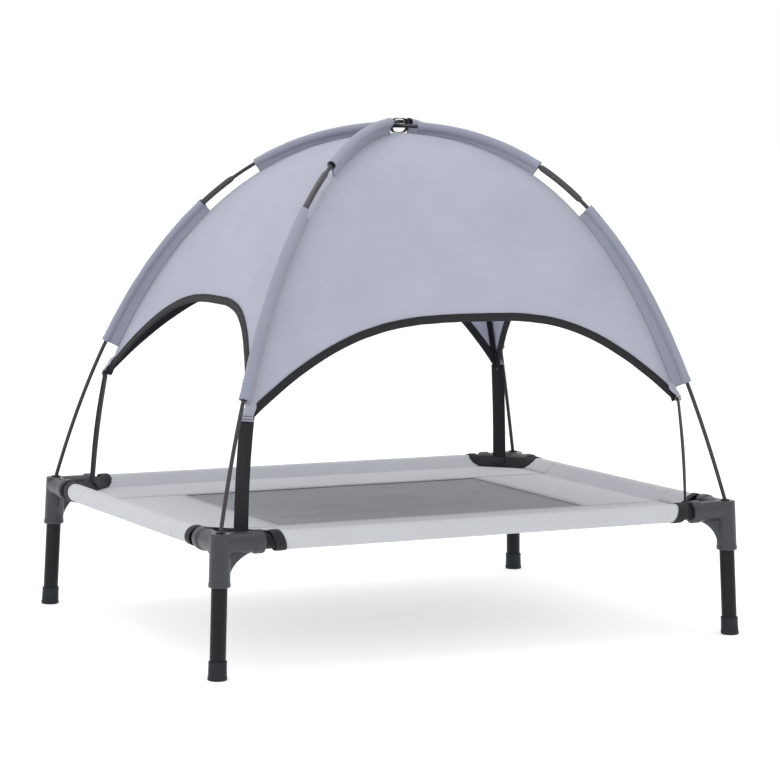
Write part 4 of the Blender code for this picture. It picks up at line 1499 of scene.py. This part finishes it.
def add_canopy_corner(corner, cloth, webbing):
    arm = Arm(corner)
    tip_height = TIP_HEIGHTS[corner]
    lengths = {"lower": (SLEEVE_FEET[corner], WINDOW_START), "upper": (WINDOW_END, SLEEVE_CROWN)}
    for index, (level, (start, end)) in enumerate(lengths.items()):
        node = f"{level}_pole_sleeve_{corner}"
        seed = 3.7 * index + list(CORNERS).index(corner)
        surface = pocket_surface(arm, start, end, seed)
        mesh = surface.mesh(node)
        name = node + "_cloth"
        # Painted shade: the sleeve cloth is the canopy cloth darkened to about half.
        piece = add_piece(name, mesh, SHADED_SLEEVE_CLOTH, "canopy", "canopy_cloth", [node], POCKET_CLOTH)
        width = surface.area() / (end - start)
        name = f"{level}_sleeve_stitching_{corner}"
        threads = pocket_stitches(arm, start, end).mesh(name)
        add_piece(name, threads, CANVAS_THREAD, "canopy", "canopy_cloth", weld=False)
    name = "inner_seam_tape_" + corner
    tape = seam_tape_surface(arm, tip_height).mesh(name)
    add_piece(name, tape, webbing, "canopy", "black_webbing", thickness=SEAM_TAPE_THICKNESS)
    node = "corner_strap_" + corner
    strap = strap_surface(arm, tip_height).mesh(node)
    add_piece(node + "_tape", strap, webbing, "canopy", "black_webbing", [node])
    name = "corner_wrap_" + corner
    wrap = corner_wrap_surface(arm, tip_height).mesh(name)
    add_piece(name, wrap, cloth, "canopy", "canopy_cloth", thickness=WRAP_THICKNESS)
    name = "wrap_stitching_" + corner
    threads = wrap_stitches(arm, tip_height).mesh(name)
    add_piece(name, threads, DARK_THREAD, "canopy", "black_webbing", weld=False)


# Camera, floor and light.


def add_camera():
    back = Vector((
        math.sin(CAMERA_AZIMUTH) * math.cos(CAMERA_ELEVATION),
        -math.cos(CAMERA_AZIMUTH) * math.cos(CAMERA_ELEVATION),
        math.sin(CAMERA_ELEVATION),
    ))
    right = Vector((0, 0, 1)).cross(back).normalized()
    up = back.cross(right)
    across = right * math.cos(CAMERA_ROLL) + up * math.sin(CAMERA_ROLL)
    upward = up * math.cos(CAMERA_ROLL) - right * math.sin(CAMERA_ROLL)
    data = bpy.data.cameras.new("camera")
    data.lens = CAMERA_LENS
    data.sensor_width = 36
    data.clip_end = 50
    camera = bpy.data.objects.new("camera", data)
    turn = Matrix((across, upward, back)).transposed().to_4x4()
    camera.matrix_world = Matrix.Translation(CAMERA_PLACE) @ turn
    bpy.context.scene.collection.objects.link(camera)
    bpy.context.scene.camera = camera


def add_light(name, place, target, size, power):
    data = bpy.data.lights.new(name, "AREA")
    data.shape = "SQUARE"
    data.size = size
    data.energy = power
    light = bpy.data.objects.new(name, data)
    aim = Vector(target) - Vector(place)
    light.location = place
    light.rotation_mode = "QUATERNION"
    light.rotation_quaternion = aim.to_track_quat("-Z", "Y")
    bpy.context.scene.collection.objects.link(light)


def add_stage():
    nodes = Nodes("pale_floor")
    nodes.set(Roughness=0.9, Emission_Color=(1, 1, 1, 1), Emission_Strength=0.42)
    grain = nodes.noise(nodes.object_coordinates(), 3.0, 2.0)
    nodes.link(nodes.ramp(grain, (0.72, 0.72, 0.72), (0.75, 0.75, 0.75)), nodes.shader.inputs["Base Color"])
    rows = [[Vector((x, y, 0)) for x in (-30, 30)] for y in (-30, 30)]
    surface = Surface()
    surface.grid(rows)
    mesh = surface.mesh("floor")
    mesh.materials.append(nodes.material)
    floor = bpy.data.objects.new("floor", mesh)
    bpy.context.scene.collection.objects.link(floor)
    world = bpy.data.worlds.new("studio")
    world.use_nodes = True
    sky = world.node_tree.nodes["Background"]
    sky.inputs["Color"].default_value = (1.0, 1.0, 1.0, 1)
    sky.inputs["Strength"].default_value = 1.0
    bpy.context.scene.world = world
    bpy.context.scene.view_settings.view_transform = "Standard"
    add_light("overhead", (-0.4, 0.2, 3.0), (0, 0, 0.3), 2.6, 26)
    add_light("front_key", (-1.9, -3.2, 1.9), (0, 0, 0.35), 1.6, 7)


add_camera()
add_corner_pieces()
add_rails()
add_cover()
add_poles()
add_canopy()
add_stage()
